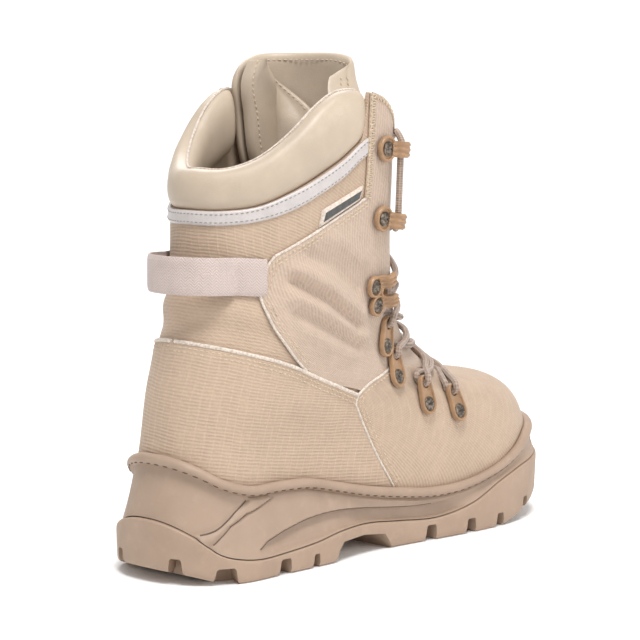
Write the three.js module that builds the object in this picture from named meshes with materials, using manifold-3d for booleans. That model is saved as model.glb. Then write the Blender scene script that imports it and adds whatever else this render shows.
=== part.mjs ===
import * as THREE from 'three';
import { mergeVertices } from 'three/addons/utils/BufferGeometryUtils.js';
import Module from 'manifold-3d';

// A right-foot military boot, eight inches high, standing on its sole.
// Millimetres. +X is the toe, +Y the inner (medial) side, +Z up.
// The origin is on the floor, at the middle of the heel tread.

// Driving sizes
const soleLength = 305;
const heelSetBack = 45;
const ballWidth = 112;
const shaftHeight = 250;
const featherHeight = 28;
const wall = 2.4;
const seatGap = 0.3;
const facetRoom = 0.7;
const panelThickness = 1.1;
const beadWidth = 4.4;
const beadHeight = 6.5;
const beadBulge = 0.6;
const beadCrestInset = 1;
const grooveDepth = 1.2;
const edgeInset = 0.6;
const stepInset = 1.4;
const stepRise = 1.6;
const flankShare = 0.55;
const insoleThickness = 4.5;
const insoleInset = 0.6;
const midsoleFloor = 5;
const lipWidth = 4.5;
const tongueThickness = 5;
const tongueRise = 13;
const tongueFootWidth = 45;
const tongueTopWidth = 94;
const tongueShift = 24;
const tongueSink = 0.6;
const collarPadThickness = 16;
const collarPadSink = 6.2;
const collarPadSeam = 1.2;
const strapWidth = 19;
const strapThickness = 1.6;
const strapStandOff = 9;
const strapSeat = 0.6;
const laceDiameter = 3.6;
const lugDepth = 7;
const lugNotchWidth = 8.5;
const lugTurn = 0.16;
const treadInset = 3.4;
const treadBevel = 3.2;
const channelWidth = 4.5;
const channelDepth = 1.4;
const archDepth = 11;
const rivetRadius = 4.6;
const rivetRise = 1.6;
const loopLength = 24;
const loopWidth = 11;
const loopThickness = 2.2;
const loopNeckRadius = 4;
const loopHoleRadius = 1.9;
const laceTurnReach = 1.95;
const hookPlateRadius = 7;
const hookSpacing = 12;
const hookReach = 12;
const hookArmWidth = 8;
const hookArmRise = 3.6;
const hookArmThickness = 2;
const hookArmReach = 5;
const hookPostDepth = 2.2;
const hardwareClearance = 0.7;
const labelHeight = 0.3;
const labelSlant = 0.02;

// Columns of the upper on one side, with two of them at the eyestay's rear edge.
const stayColumns = 9;
const restColumns = 13;
const stayShare = 0.324;
const padShare = 0.352;
const columnsPerSide = stayColumns + 1 + restColumns;
const upperRows = 15;
const upperHeight = shaftHeight - featherHeight;

// Rings of the upper from the feather line to above the collar.
// front and back are shares of the sole's length, frontUp, backUp and sag shares of the
// upper's height above the feather line, and the rest shares of the ball's width.
const rings = [
  {
    front: 0.944, frontUp: -0.005, back: 0.046, backUp: 0.0, sag: 0.036, heel: 0.277,
    waist: 0.304, ball: 0.429, toe: 0.393, backRound: 0.304, frontRound: 0.536, lean: 0.054,
  },
  {
    front: 0.974, frontUp: 0.068, back: 0.039, backUp: 0.099, sag: 0.036, heel: 0.295,
    waist: 0.330, ball: 0.446, toe: 0.420, backRound: 0.321, frontRound: 0.571, lean: 0.054,
  },
  {
    front: 0.949, frontUp: 0.173, back: 0.046, backUp: 0.189, sag: 0.027, heel: 0.286,
    waist: 0.339, ball: 0.429, toe: 0.411, backRound: 0.339, frontRound: 0.589, lean: 0.054,
  },
  {
    front: 0.880, frontUp: 0.228, back: 0.056, backUp: 0.284, sag: 0.018, heel: 0.277,
    waist: 0.357, ball: 0.384, toe: 0.339, backRound: 0.357, frontRound: 0.554, lean: 0.045,
  },
  {
    front: 0.756, frontUp: 0.250, back: 0.069, backUp: 0.360, sag: 0.009, heel: 0.268,
    waist: 0.357, ball: 0.348, toe: 0.268, backRound: 0.375, frontRound: 0.482, lean: 0.036,
  },
  {
    front: 0.651, frontUp: 0.320, back: 0.082, backUp: 0.428, sag: 0.0, heel: 0.268,
    waist: 0.357, ball: 0.339, toe: 0.250, backRound: 0.393, frontRound: 0.393, lean: 0.027,
  },
  {
    front: 0.577, frontUp: 0.423, back: 0.092, backUp: 0.500, sag: 0.0, heel: 0.268,
    waist: 0.357, ball: 0.357, toe: 0.286, backRound: 0.411, frontRound: 0.321, lean: 0.018,
  },
  {
    front: 0.538, frontUp: 0.541, back: 0.102, backUp: 0.581, sag: 0.0, heel: 0.268,
    waist: 0.357, ball: 0.375, toe: 0.339, backRound: 0.429, frontRound: 0.277, lean: 0.009,
  },
  {
    front: 0.518, frontUp: 0.662, back: 0.105, backUp: 0.676, sag: 0.0, heel: 0.268,
    waist: 0.366, ball: 0.393, toe: 0.375, backRound: 0.429, frontRound: 0.259, lean: 0.0,
  },
  {
    front: 0.511, frontUp: 0.806, back: 0.108, backUp: 0.793, sag: 0.0, heel: 0.268,
    waist: 0.375, ball: 0.411, toe: 0.402, backRound: 0.429, frontRound: 0.250, lean: 0.0,
  },
  {
    front: 0.508, frontUp: 1.0, back: 0.110, backUp: 0.973, sag: 0.0, heel: 0.286,
    waist: 0.393, ball: 0.429, toe: 0.411, backRound: 0.429, frontRound: 0.250, lean: 0.0,
  },
];

// Half of the throat's opening, as shares of the ball's width, by ring.
const throat = [
  { ring: 4.15, half: 0.0 },
  { ring: 4.5, half: 0.085 },
  { ring: 5.0, half: 0.12 },
  { ring: 6.0, half: 0.145 },
  { ring: 7.5, half: 0.165 },
  { ring: 9.0, half: 0.18 },
  { ring: 10.0, half: 0.2 },
];

// Lines around the shaft. around is the share of the way from the front to the back,
// the heights are shares of the upper's height above the feather line.
const collar = [
  { around: 0.0, top: 0.91, padFoot: 0.9, bandFoot: 0.83 },
  { around: 0.2, top: 0.935, padFoot: 0.89, bandFoot: 0.83 },
  { around: 0.4, top: 0.978, padFoot: 0.869, bandFoot: 0.824 },
  { around: 0.5, top: 0.978, padFoot: 0.82, bandFoot: 0.775 },
  { around: 0.573, top: 0.95, padFoot: 0.79, bandFoot: 0.745 },
  { around: 0.69, top: 0.878, padFoot: 0.747, bandFoot: 0.703 },
  { around: 0.79, top: 0.829, padFoot: 0.717, bandFoot: 0.68 },
  { around: 0.89, top: 0.806, padFoot: 0.707, bandFoot: 0.671 },
  { around: 1.0, top: 0.806, padFoot: 0.707, bandFoot: 0.671 },
];
const padStart = 0.43;
const eyestayRear = 0.405;

// The sole's side. along is the share of its length from the heel's back, flare stands out
// from the upper as a share of the ball's width, and the heights are in shares of the
// feather line's height: tread at the floor, the outsole's edge line and the cup's bead.
const soleSide = [
  { along: 0.0, flare: 0.107, tread: 0.24, edge: 1.14, bead: 2.36 },
  { along: 0.03, flare: 0.107, tread: 0.15, edge: 0.86, bead: 2.32 },
  { along: 0.06, flare: 0.107, tread: 0.05, edge: 0.57, bead: 2.1 },
  { along: 0.09, flare: 0.107, tread: 0.0, edge: 0.45, bead: 1.86 },
  { along: 0.14, flare: 0.107, tread: 0.0, edge: 0.38, bead: 1.69 },
  { along: 0.2, flare: 0.107, tread: 0.0, edge: 0.4, bead: 1.68 },
  { along: 0.27, flare: 0.107, tread: 0.0, edge: 0.47, bead: 1.64 },
  { along: 0.33, flare: 0.094, tread: 0.0, edge: 0.57, bead: 1.5 },
  { along: 0.41, flare: 0.05, tread: 0.0, edge: 0.58, bead: 1.3 },
  { along: 0.49, flare: 0.036, tread: 0.0, edge: 0.5, bead: 1.16 },
  { along: 0.58, flare: 0.045, tread: 0.0, edge: 0.44, bead: 1.05 },
  { along: 0.67, flare: 0.058, tread: 0.0, edge: 0.6, bead: 1.08 },
  { along: 0.75, flare: 0.063, tread: 0.0, edge: 0.94, bead: 1.28 },
  { along: 0.81, flare: 0.067, tread: 0.14, edge: 1.13, bead: 1.55 },
  { along: 0.86, flare: 0.071, tread: 0.29, edge: 1.2, bead: 1.79 },
  { along: 0.92, flare: 0.076, tread: 0.45, edge: 1.25, bead: 1.93 },
  { along: 1.0, flare: 0.085, tread: 0.62, edge: 1.29, bead: 2.0 },
];

// Main grooves of the tread, by their share of the sole's length on each side. Their width and
// depth are shares of lugNotchWidth and lugDepth, and the rest shares of the ball's width.
const lugNotches = [
  { outer: 0.072, inner: 0.1, width: 1.1, depth: 1.07 },
  { outer: 0.19, inner: 0.2, width: 1.05, depth: 1.2 },
  { outer: 0.248, inner: 0.262, width: 0.6, depth: 1.07 },
  { outer: 0.585, inner: 0.56, width: 0.95, depth: 1.0 },
  { outer: 0.672, inner: 0.65, width: 0.9, depth: 0.93 },
  { outer: 0.757, inner: 0.74, width: 0.7, depth: 0.86 },
  { outer: 0.835, inner: 0.825, width: 0.7, depth: 0.86 },
];
const notchLength = 0.32;
const notchMiddle = 0.5;
const channels = [-0.13, 0.16];
const heelChannelStart = 0.07;
const frontChannelEnd = 0.82;
const archStart = 0.315;
const archEnd = 0.495;

// Seams of the panels: ring and share of the way around.
const vampRear = [
  { ring: 0.3, around: 0.52 },
  { ring: 0.7, around: 0.535 },
  { ring: 1.8, around: 0.585 },
  { ring: 2.9, around: 0.6 },
  { ring: 3.3, around: 0.578 },
];
const vampTop = [
  { across: 0.0, ring: 3.95 },
  { across: 0.35, ring: 3.98 },
  { across: 0.6, ring: 4.2 },
  { across: 0.72, ring: 4.2 },
  { across: 0.86, ring: 3.75 },
  { across: 1.0, ring: 3.2 },
];
const counterTop = [
  { around: 0.578, ring: 3.2 },
  { around: 0.62, ring: 3.55 },
  { around: 0.72, ring: 4.1 },
  { around: 0.86, ring: 4.5 },
  { around: 1.0, ring: 4.6 },
];
const ankleRear = [
  { ring: 3.5, around: 0.575 },
  { ring: 4.3, around: 0.68 },
  { ring: 4.93, around: 0.722 },
  { ring: 6.38, around: 0.775 },
  { ring: 6.9, around: 0.755 },
  { ring: 7.3, around: 0.725 },
];
const ankleTop = [
  { across: 0.0, ring: 8.35 },
  { across: 0.45, ring: 7.85 },
  { across: 1.0, ring: 7.2 },
];
const ankleFoot = [
  { across: 0.0, ring: 4.5 },
  { across: 0.3, ring: 4.15 },
  { across: 0.58, ring: 3.65 },
  { across: 0.78, ring: 3.95 },
  { across: 1.0, ring: 4.4 },
];
const stayFoot = [
  { across: 0.0, ring: 6.1 },
  { across: 1.0, ring: 5.8 },
];
const laceMiddles = [4.5, 4.95, 5.4, 5.95, 6.6, 7.5];
const laceLift = 4.6;
const strapRing = 6.8;
const strapEnd = 0.79;
const panelFront = 0.41;
const stayRear = 0.39;
const stayFront = 0.14;
const labelFront = 0.43;
const labelRear = 0.565;
const labelDrop = 0.1;
const collarRing = 9.3;
const tongueFootRing = 3.9;
const tongueOpenRing = 4.6;
const tongueOpenSpan = 0.9;
const lowestAimRing = 4.4;
const aimRings = 1.6;
const seamWidth = 2;

// Lace hardware on each side, by ring and share of the way around.
const laceLoops = [
  { ring: 2.38, around: 0.335 },
  { ring: 2.68, around: 0.4 },
  { ring: 3.65, around: 0.4 },
  { ring: 4.93, around: 0.335 },
];
const doubleHookAt = { ring: 6.6, around: 0.308 };
const hooks = [
  { ring: 8.05, around: 0.29 },
  { ring: 9.18, around: 0.295 },
];

const colours = {
  fabric: 0xcdb294,
  leather: 0xcdc0a3,
  rubber: 0xc3a587,
  webbing: 0xe4d0be,
  band: 0xd7d5d0,
  plastic: 0xc8a073,
  metal: 0x4a4540,
  lace: 0xb59c86,
  label: 0x4b4a48,
  insole: 0x6a6056,
};

const wasm = await Module();
wasm.setup();
const boot = new THREE.Group();

// Smooth value of one column of a table, by another column.
function along(table, key, column, at) {
  const last = table.length - 1;
  const want = Math.min(Math.max(at, table[0][key]), table[last][key]);
  let i = 0;
  while (i < last - 1 && want > table[i + 1][key]) i += 1;
  const slope = (k) => {
    const before = table[Math.max(k - 1, 0)];
    const after = table[Math.min(k + 1, last)];
    return (after[column] - before[column]) / (after[key] - before[key]);
  };
  const span = table[i + 1][key] - table[i][key];
  const f = (want - table[i][key]) / span;
  const rise = f * f * (3 - 2 * f);
  return table[i][column] * (1 - rise) + table[i + 1][column] * rise
    + span * slope(i) * f * (1 - f) ** 2 - span * slope(i + 1) * f * f * (1 - f);
}

// One ring's sizes in millimetres, with smooth sizes between the rows.
function ringAt(t) {
  const i = Math.min(Math.max(Math.floor(t), 0), rings.length - 2);
  const f = t - i;
  const value = (key) => {
    const b = rings[i][key];
    const c = rings[i + 1][key];
    const a = i > 0 ? rings[i - 1][key] : 2 * b - c;
    const d = i + 2 < rings.length ? rings[i + 2][key] : 2 * c - b;
    return 0.5 * (2 * b + (c - a) * f + (2 * a - 5 * b + 4 * c - d) * f * f
      + (3 * b - a - 3 * c + d) * f ** 3);
  };
  const ring = {};
  for (const key of ['front', 'back']) ring[key] = value(key) * soleLength - heelSetBack;
  for (const key of ['frontUp', 'backUp']) ring[key] = featherHeight + value(key) * upperHeight;
  ring.sag = value('sag') * upperHeight;
  for (const key of ['heel', 'waist', 'ball', 'toe', 'backRound', 'frontRound', 'lean']) {
    ring[key] = value(key) * ballWidth;
  }
  return ring;
}

// How far a round end has opened at a distance from its tip.
function roundEnd(distance, radius) {
  const fullness = 2.2;
  const k = Math.min(Math.max(1 - distance / radius, 0), 1);
  return (1 - k ** fullness) ** (1 / fullness);
}

// Half a ring as points from the front to the back, with their distance along it.
const ringCache = new Map();
function halfRing(t, side) {
  const name = `${t.toFixed(5)} ${side}`;
  if (ringCache.has(name)) return ringCache.get(name);
  const ring = ringAt(t);
  const length = Math.hypot(ring.front - ring.back, ring.frontUp - ring.backUp);
  const steps = 72;
  const points = [];
  const distance = [0];
  for (let i = 0; i <= steps; i += 1) {
    const s = (1 + Math.cos((Math.PI * i) / steps)) / 2;
    const width = ring.heel * (s - 1 / 3) * (s - 2 / 3) * (s - 1) * -4.5
      + ring.waist * s * (s - 2 / 3) * (s - 1) * 13.5
      - ring.ball * s * (s - 1 / 3) * (s - 1) * 13.5
      + ring.toe * s * (s - 1 / 3) * (s - 2 / 3) * 4.5;
    const open = roundEnd(s * length, ring.backRound) * roundEnd((1 - s) * length, ring.frontRound);
    points.push(new THREE.Vector3(
      ring.back + (ring.front - ring.back) * s,
      ring.lean * s * s + side * width * open,
      ring.backUp + (ring.frontUp - ring.backUp) * s - ring.sag * 4 * s * (1 - s),
    ));
    if (i > 0) distance.push(distance[i - 1] + points[i].distanceTo(points[i - 1]));
  }
  const half = { points, distance, length: distance[steps] };
  ringCache.set(name, half);
  return half;
}

// A point of the upper's outer face: ring t, side -1 outer or 1 inner, share of the way around.
function onUpper(t, side, around) {
  const half = halfRing(t, side);
  const want = Math.min(Math.max(around, 0), 1) * half.length;
  let i = 0;
  while (i < half.points.length - 2 && want > half.distance[i + 1]) i += 1;
  const f = (want - half.distance[i]) / (half.distance[i + 1] - half.distance[i]);
  return half.points[i].clone().lerp(half.points[i + 1], f);
}

// The face's outward normal. On the front and back centre lines it has no sideways part.
function normalAt(t, side, around) {
  const step = 0.02;
  const upIt = onUpper(t + 0.08, side, around).sub(onUpper(Math.max(t - 0.08, -0.5), side, around));
  if (around <= 0) return new THREE.Vector3(upIt.z, 0, -upIt.x).normalize();
  if (around >= 1) return new THREE.Vector3(-upIt.z, 0, upIt.x).normalize();
  const acrossIt = onUpper(t, side, Math.min(around + step, 1));
  acrossIt.sub(onUpper(t, side, Math.max(around - step, 0)));
  return acrossIt.cross(upIt).multiplyScalar(side).normalize();
}

function place(t, side, around, lift) {
  return onUpper(t, side, around).addScaledVector(normalAt(t, side, around), lift);
}

// The ring on which a column of the upper reaches a height.
function ringAtHeight(side, around, height) {
  let low = 0;
  let high = rings.length - 0.5;
  for (let i = 0; i < 30; i += 1) {
    const middle = (low + high) / 2;
    if (onUpper(middle, side, around).z < height) low = middle;
    else high = middle;
  }
  return (low + high) / 2;
}

function collarHeight(around, column) {
  return featherHeight + upperHeight * along(collar, 'around', column, around);
}

// The upper's top edge: the eyestay rises to the collar, and behind it the wall stops under the pad.
function topEdge(around) {
  const ramp = Math.min(Math.max((around - eyestayRear) / (padStart - eyestayRear), 0), 1);
  const stay = collarHeight(around, 'top');
  const pad = collarHeight(around, 'padFoot');
  return stay * (1 - ramp) + pad * ramp;
}

function throatHalf(t) {
  if (t <= throat[0].ring) return 0;
  return ballWidth * along(throat, 'ring', 'half', t);
}

// A closed body from loose triangles, with shared corners merged.
function bodyFrom(triangles) {
  const geometry = new THREE.BufferGeometry();
  const numbers = triangles.flatMap((p) => [p.x, p.y, p.z]);
  geometry.setAttribute('position', new THREE.Float32BufferAttribute(numbers, 3));
  const merged = mergeVertices(geometry, 1e-4);
  const index = [];
  const old = merged.index.array;
  for (let i = 0; i < old.length; i += 3) {
    const [a, b, c] = [old[i], old[i + 1], old[i + 2]];
    if (a !== b && b !== c && a !== c) index.push(a, b, c);
  }
  merged.setIndex(index);
  return merged;
}

function quad(out, a, b, c, d) {
  out.push(a, b, c, a, c, d);
}

// Two faces of a sheet and the walls round its edge. outer and inner are grids of columns.
// A closed sheet's first and last columns meet. After column openAt it may be slit, in the rows
// where isOpen says so.
function sheetBody(outer, inner, closed, openAt, isOpen) {
  const out = [];
  const last = outer.length - 1;
  const rows = outer[0].length - 1;
  for (let i = 0; i < last; i += 1) {
    if (i === openAt) continue;
    for (let j = 0; j < rows; j += 1) {
      quad(out, outer[i][j], outer[i + 1][j], outer[i + 1][j + 1], outer[i][j + 1]);
      quad(out, inner[i][j], inner[i][j + 1], inner[i + 1][j + 1], inner[i + 1][j]);
    }
    quad(out, outer[i][0], inner[i][0], inner[i + 1][0], outer[i + 1][0]);
    quad(out, outer[i][rows], outer[i + 1][rows], inner[i + 1][rows], inner[i][rows]);
  }
  const edge = (i, first) => {
    for (let j = 0; j < rows; j += 1) {
      if (openAt !== null && (i === openAt || i === openAt + 1) && !isOpen(i, j)) continue;
      if (first) quad(out, outer[i][j], outer[i][j + 1], inner[i][j + 1], inner[i][j]);
      else quad(out, outer[i][j], inner[i][j], inner[i][j + 1], outer[i][j + 1]);
    }
  };
  if (openAt !== null) {
    edge(openAt, false);
    edge(openAt + 1, true);
  }
  if (!closed) {
    edge(0, true);
    edge(last, false);
  }
  return bodyFrom(out);
}

// A body through closed rings of points. Each ring runs from the front by the outer side to the
// back and home by the inner side, so that the ends close straight across.
function loftBody(sections) {
  const out = [];
  const count = sections[0].length;
  for (let k = 0; k < sections.length - 1; k += 1) {
    for (let i = 0; i < count; i += 1) {
      const n = (i + 1) % count;
      quad(out, sections[k][i], sections[k + 1][i], sections[k + 1][n], sections[k][n]);
    }
  }
  const cap = (ring, up) => {
    for (let i = 0; i < count / 2; i += 1) {
      const far = (count - i) % count;
      const next = count - i - 1;
      if (up) quad(out, ring[i], ring[far], ring[next], ring[i + 1]);
      else quad(out, ring[i], ring[i + 1], ring[next], ring[far]);
    }
  };
  cap(sections[0], false);
  cap(sections[sections.length - 1], true);
  return bodyFrom(out);
}

// Faces must point out: a body that is inside out is turned.
function outward(geometry) {
  const p = geometry.attributes.position;
  const index = geometry.index.array;
  const [a, b, c] = [new THREE.Vector3(), new THREE.Vector3(), new THREE.Vector3()];
  let volume = 0;
  for (let i = 0; i < index.length; i += 3) {
    a.fromBufferAttribute(p, index[i]);
    b.fromBufferAttribute(p, index[i + 1]);
    c.fromBufferAttribute(p, index[i + 2]);
    volume += a.dot(b.cross(c));
  }
  if (volume > 0) return geometry;
  const turned = [];
  for (let i = 0; i < index.length; i += 3) turned.push(index[i], index[i + 2], index[i + 1]);
  geometry.setIndex(turned);
  return geometry;
}

// Corners shared by faces become one vertex.
function weld(geometry) {
  const bare = geometry.clone();
  bare.deleteAttribute('normal');
  bare.deleteAttribute('uv');
  return outward(mergeVertices(bare, 1e-4));
}

function toSolid(geometry) {
  const merged = weld(geometry);
  return new wasm.Manifold(new wasm.Mesh({
    numProp: 3,
    vertProperties: new Float32Array(merged.attributes.position.array),
    triVerts: new Uint32Array(merged.index.array),
  }));
}

function fromSolid(solid) {
  const mesh = solid.getMesh();
  const geometry = new THREE.BufferGeometry();
  geometry.setAttribute('position', new THREE.Float32BufferAttribute(mesh.vertProperties, 3));
  geometry.setIndex(Array.from(mesh.triVerts));
  return geometry;
}

function add(name, geometry, colour, roughness, metalness = 0) {
  const material = new THREE.MeshStandardMaterial({ color: colour, roughness, metalness });
  const mesh = new THREE.Mesh(weld(geometry), material);
  mesh.name = name;
  boot.add(mesh);
  return mesh;
}

function columnShare(i) {
  if (i <= stayColumns) return (stayShare * i) / stayColumns;
  return 1 - ((1 - padShare) * (columnsPerSide - i)) / restColumns;
}

// Columns from the outer side's back round the front to the inner side's back.
function columnList() {
  const list = [];
  for (let i = columnsPerSide; i >= 0; i -= 1) list.push({ side: -1, share: columnShare(i) });
  for (let i = 0; i <= columnsPerSide; i += 1) list.push({ side: 1, share: columnShare(i) });
  return list;
}

function makeUpper() {
  const outer = [];
  const inner = [];
  for (const column of columnList()) {
    const outside = [];
    const inside = [];
    const collarGap = throatHalf(collarRing) / halfRing(collarRing, column.side).length;
    const collarAround = collarGap + (1 - collarGap) * column.share;
    const top = ringAtHeight(column.side, collarAround, topEdge(collarAround));
    for (let j = 0; j <= upperRows; j += 1) {
      const t = (top * j) / upperRows;
      const gap = throatHalf(t) / halfRing(t, column.side).length;
      const around = gap + (1 - gap) * column.share;
      outside.push(place(t, column.side, around, 0));
      inside.push(place(t, column.side, around, -wall));
    }
    outer.push(outside);
    inner.push(inside);
  }
  const isOpen = (i, j) => {
    const above = outer[columnsPerSide][j + 1];
    return above.distanceTo(outer[columnsPerSide + 1][j + 1]) > 0.01;
  };
  return sheetBody(outer, inner, true, columnsPerSide, isOpen);
}

// A thin panel on the upper: at(u, v) gives ring, side and share around.
function makePanel(at, across, up) {
  const outer = [];
  const inner = [];
  for (let i = 0; i <= across; i += 1) {
    const outside = [];
    const inside = [];
    for (let j = 0; j <= up; j += 1) {
      const spot = at(i / across, j / up);
      const base = seatGap + facetRoom;
      outside.push(place(spot.t, spot.side, spot.around, base + panelThickness));
      inside.push(place(spot.t, spot.side, spot.around, base));
    }
    outer.push(outside);
    inner.push(inside);
  }
  return sheetBody(outer, inner, false, null);
}

// A closed ring of points round the sole, by a function of side and share around.
function soleRing(pointAt) {
  const ring = [];
  for (let i = 0; i <= columnsPerSide; i += 1) ring.push(pointAt(-1, columnShare(i)));
  for (let i = columnsPerSide - 1; i > 0; i -= 1) ring.push(pointAt(1, columnShare(i)));
  return ring;
}

function soleShare(x) {
  return (x + heelSetBack) / soleLength;
}

// A point beside the upper at a height, stood out level from its face.
function besideUpper(side, around, height, out) {
  const t = ringAtHeight(side, around, height);
  const normal = normalAt(t, side, around);
  normal.z = 0;
  normal.normalize();
  return onUpper(t, side, around).setZ(height).addScaledVector(normal, out);
}

// The sole's outer edge line, flared out from the upper's widest ring.
function soleEdge(side, around, heightColumn, inset, rise) {
  const base = onUpper(1, side, around);
  const normal = normalAt(1, side, around);
  normal.z = 0;
  normal.normalize();
  const flare = ballWidth * along(soleSide, 'along', 'flare', soleShare(base.x));
  const share = soleShare(base.x + normal.x * flare);
  const height = featherHeight * along(soleSide, 'along', heightColumn, share);
  return base.addScaledVector(normal, flare - inset).setZ(height + rise);
}

function beadTop(side, around) {
  const share = soleShare(onUpper(1, side, around).x);
  return featherHeight * along(soleSide, 'along', 'bead', share);
}

function footbedPoint(side, around, out, rise) {
  const base = onUpper(0, side, around);
  const normal = normalAt(0.4, side, around);
  normal.z = 0;
  normal.normalize();
  const height = base.z + rise;
  return base.addScaledVector(normal, out).setZ(height);
}

// The outsole's edge stands up as a lip where its core stays under the footbed.
function coreRing(inset, rise) {
  return soleRing((side, around) => {
    const point = soleEdge(side, around, 'edge', inset, rise);
    const limit = onUpper(0, side, around).z - midsoleFloor + rise;
    return point.setZ(Math.min(point.z, limit));
  });
}

function makeMidsole() {
  const fit = seatGap + facetRoom;
  const core = coreRing(lipWidth + 2 * fit, fit);
  const edgeRing = (inset, rise) => soleRing((side, around) => soleEdge(side, around, 'edge', inset, rise));
  const shelf = edgeRing(lipWidth + edgeInset, 2 * seatGap);
  const foot = edgeRing(edgeInset, seatGap);
  const step = edgeRing(stepInset, seatGap + stepRise);
  const flank = soleRing((side, around) => {
    const low = soleEdge(side, around, 'edge', stepInset, stepRise);
    const high = besideUpper(side, around, beadTop(side, around) - beadHeight, beadWidth);
    return low.lerp(high, flankShare);
  });
  const beadRing = (drop, out) => soleRing((side, around) => {
    return besideUpper(side, around, beadTop(side, around) - drop, out);
  });
  const groove = beadRing(beadHeight, beadWidth - grooveDepth);
  const bulge = beadRing(beadHeight / 2, beadWidth + beadBulge);
  const crest = beadRing(0, beadWidth - beadCrestInset);
  const cup = [1, 0.67, 0.33].map((share) => soleRing((side, around) => {
    const low = onUpper(0, side, around).z;
    const height = low + (beadTop(side, around) - low) * share;
    return besideUpper(side, around, height, fit);
  }));
  const cupFoot = soleRing((side, around) => footbedPoint(side, around, fit, -seatGap));
  return loftBody([core, shelf, foot, step, flank, groove, bulge, crest, ...cup, cupFoot]);
}

function blockAt(x, y, z, lengthX, lengthY, lengthZ, turn = 0) {
  const geometry = new THREE.BoxGeometry(lengthX, lengthY, lengthZ);
  geometry.rotateZ(turn);
  geometry.translate(x, y, z);
  return toSolid(geometry);
}

function makeOutsole() {
  const tread = soleRing((side, around) => soleEdge(side, around, 'tread', treadInset, 0));
  const bevel = soleRing((side, around) => soleEdge(side, around, 'tread', edgeInset, treadBevel));
  const edge = soleRing((side, around) => soleEdge(side, around, 'edge', 0, -seatGap));
  const lip = soleRing((side, around) => soleEdge(side, around, 'edge', lipWidth, -seatGap));
  const core = coreRing(lipWidth + seatGap + facetRoom, -seatGap);
  let solid = toSolid(loftBody([tread, bevel, edge, lip, core]));
  const archLength = (archEnd - archStart) * soleLength;
  const archShape = new THREE.Shape();
  archShape.moveTo(0, -archDepth);
  archShape.lineTo(archLength, -archDepth);
  archShape.lineTo(archLength, 0);
  archShape.lineTo(archLength * 0.86, archDepth * 0.85);
  archShape.lineTo(archLength * 0.5, archDepth);
  archShape.lineTo(archLength * 0.12, archDepth * 0.95);
  archShape.lineTo(0, 0);
  const archBlock = new THREE.ExtrudeGeometry(archShape, { depth: 2 * ballWidth, bevelEnabled: false });
  archBlock.rotateX(Math.PI / 2);
  archBlock.translate(archStart * soleLength - heelSetBack, ballWidth, 0);
  solid = solid.subtract(toSolid(archBlock));
  for (const notch of lugNotches) {
    for (const side of [-1, 1]) {
      const share = side < 0 ? notch.outer : notch.inner;
      const x = share * soleLength - heelSetBack;
      const y = side * ballWidth * notchMiddle;
      const floor = featherHeight * along(soleSide, 'along', 'tread', share);
      const depth = lugDepth * notch.depth;
      const size = [lugNotchWidth * notch.width, ballWidth * notchLength, depth * 4];
      solid = solid.subtract(blockAt(x, y, floor - depth, ...size, side * lugTurn));
    }
  }
  const runs = [[heelChannelStart, archStart], [archEnd, frontChannelEnd]];
  for (const [start, end] of runs) {
    const length = (end - start) * soleLength;
    const x = start * soleLength + length / 2 - heelSetBack;
    for (const across of channels) {
      const size = [length, channelWidth, channelDepth * 2];
      solid = solid.subtract(blockAt(x, across * ballWidth, 0, ...size));
    }
  }
  return fromSolid(solid);
}

function makeInsole() {
  const inset = -(wall + seatGap + facetRoom);
  const foot = soleRing((side, around) => footbedPoint(side, around, inset - insoleInset, 0));
  const brow = soleRing((side, around) => footbedPoint(side, around, inset, insoleThickness));
  return loftBody([foot, brow]);
}

// The tongue lies behind the throat, fills its opening and rises over the collar. Above the
// instep it has slid towards the inner side.
function makeTongue() {
  const across = 12;
  const up = 13;
  const slideFrom = 0.5;
  const topRing = ringAtHeight(-1, 0, shaftHeight);
  const ringsPerMillimetre = 1 / (upperHeight * (rings[10].frontUp - rings[9].frontUp));
  const tongueTopRing = topRing + tongueRise * ringsPerMillimetre;
  const behind = wall + 2 * seatGap + facetRoom;
  const outer = [];
  const inner = [];
  for (let i = 0; i <= across; i += 1) {
    const outside = [];
    const inside = [];
    for (let j = 0; j <= up; j += 1) {
      const v = j / up;
      const t = tongueFootRing + (tongueTopRing - tongueFootRing) * v;
      const reach = (tongueFootWidth + (tongueTopWidth - tongueFootWidth) * v) / 2;
      const slide = tongueShift * (Math.max(0, v - slideFrom) / (1 - slideFrom)) ** 1.5;
      const arc = ((2 * i) / across - 1) * reach + slide;
      const side = arc < 0 ? -1 : 1;
      const around = Math.abs(arc) / halfRing(t, side).length;
      const opening = throatHalf(t) - seamWidth;
      const opened = Math.min(Math.max((t - tongueOpenRing) / tongueOpenSpan, 0), 1);
      const crown = opening > 0 ? opened * Math.max(0, 1 - (arc / opening) ** 2) : 0;
      const lift = -behind + Math.min(crown * 2.2, 1) * (behind - tongueSink);
      outside.push(place(t, side, around, lift));
      inside.push(place(t, side, around, lift - tongueThickness));
    }
    outer.push(outside);
    inner.push(inside);
  }
  return sheetBody(outer, inner, false, null);
}

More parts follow.
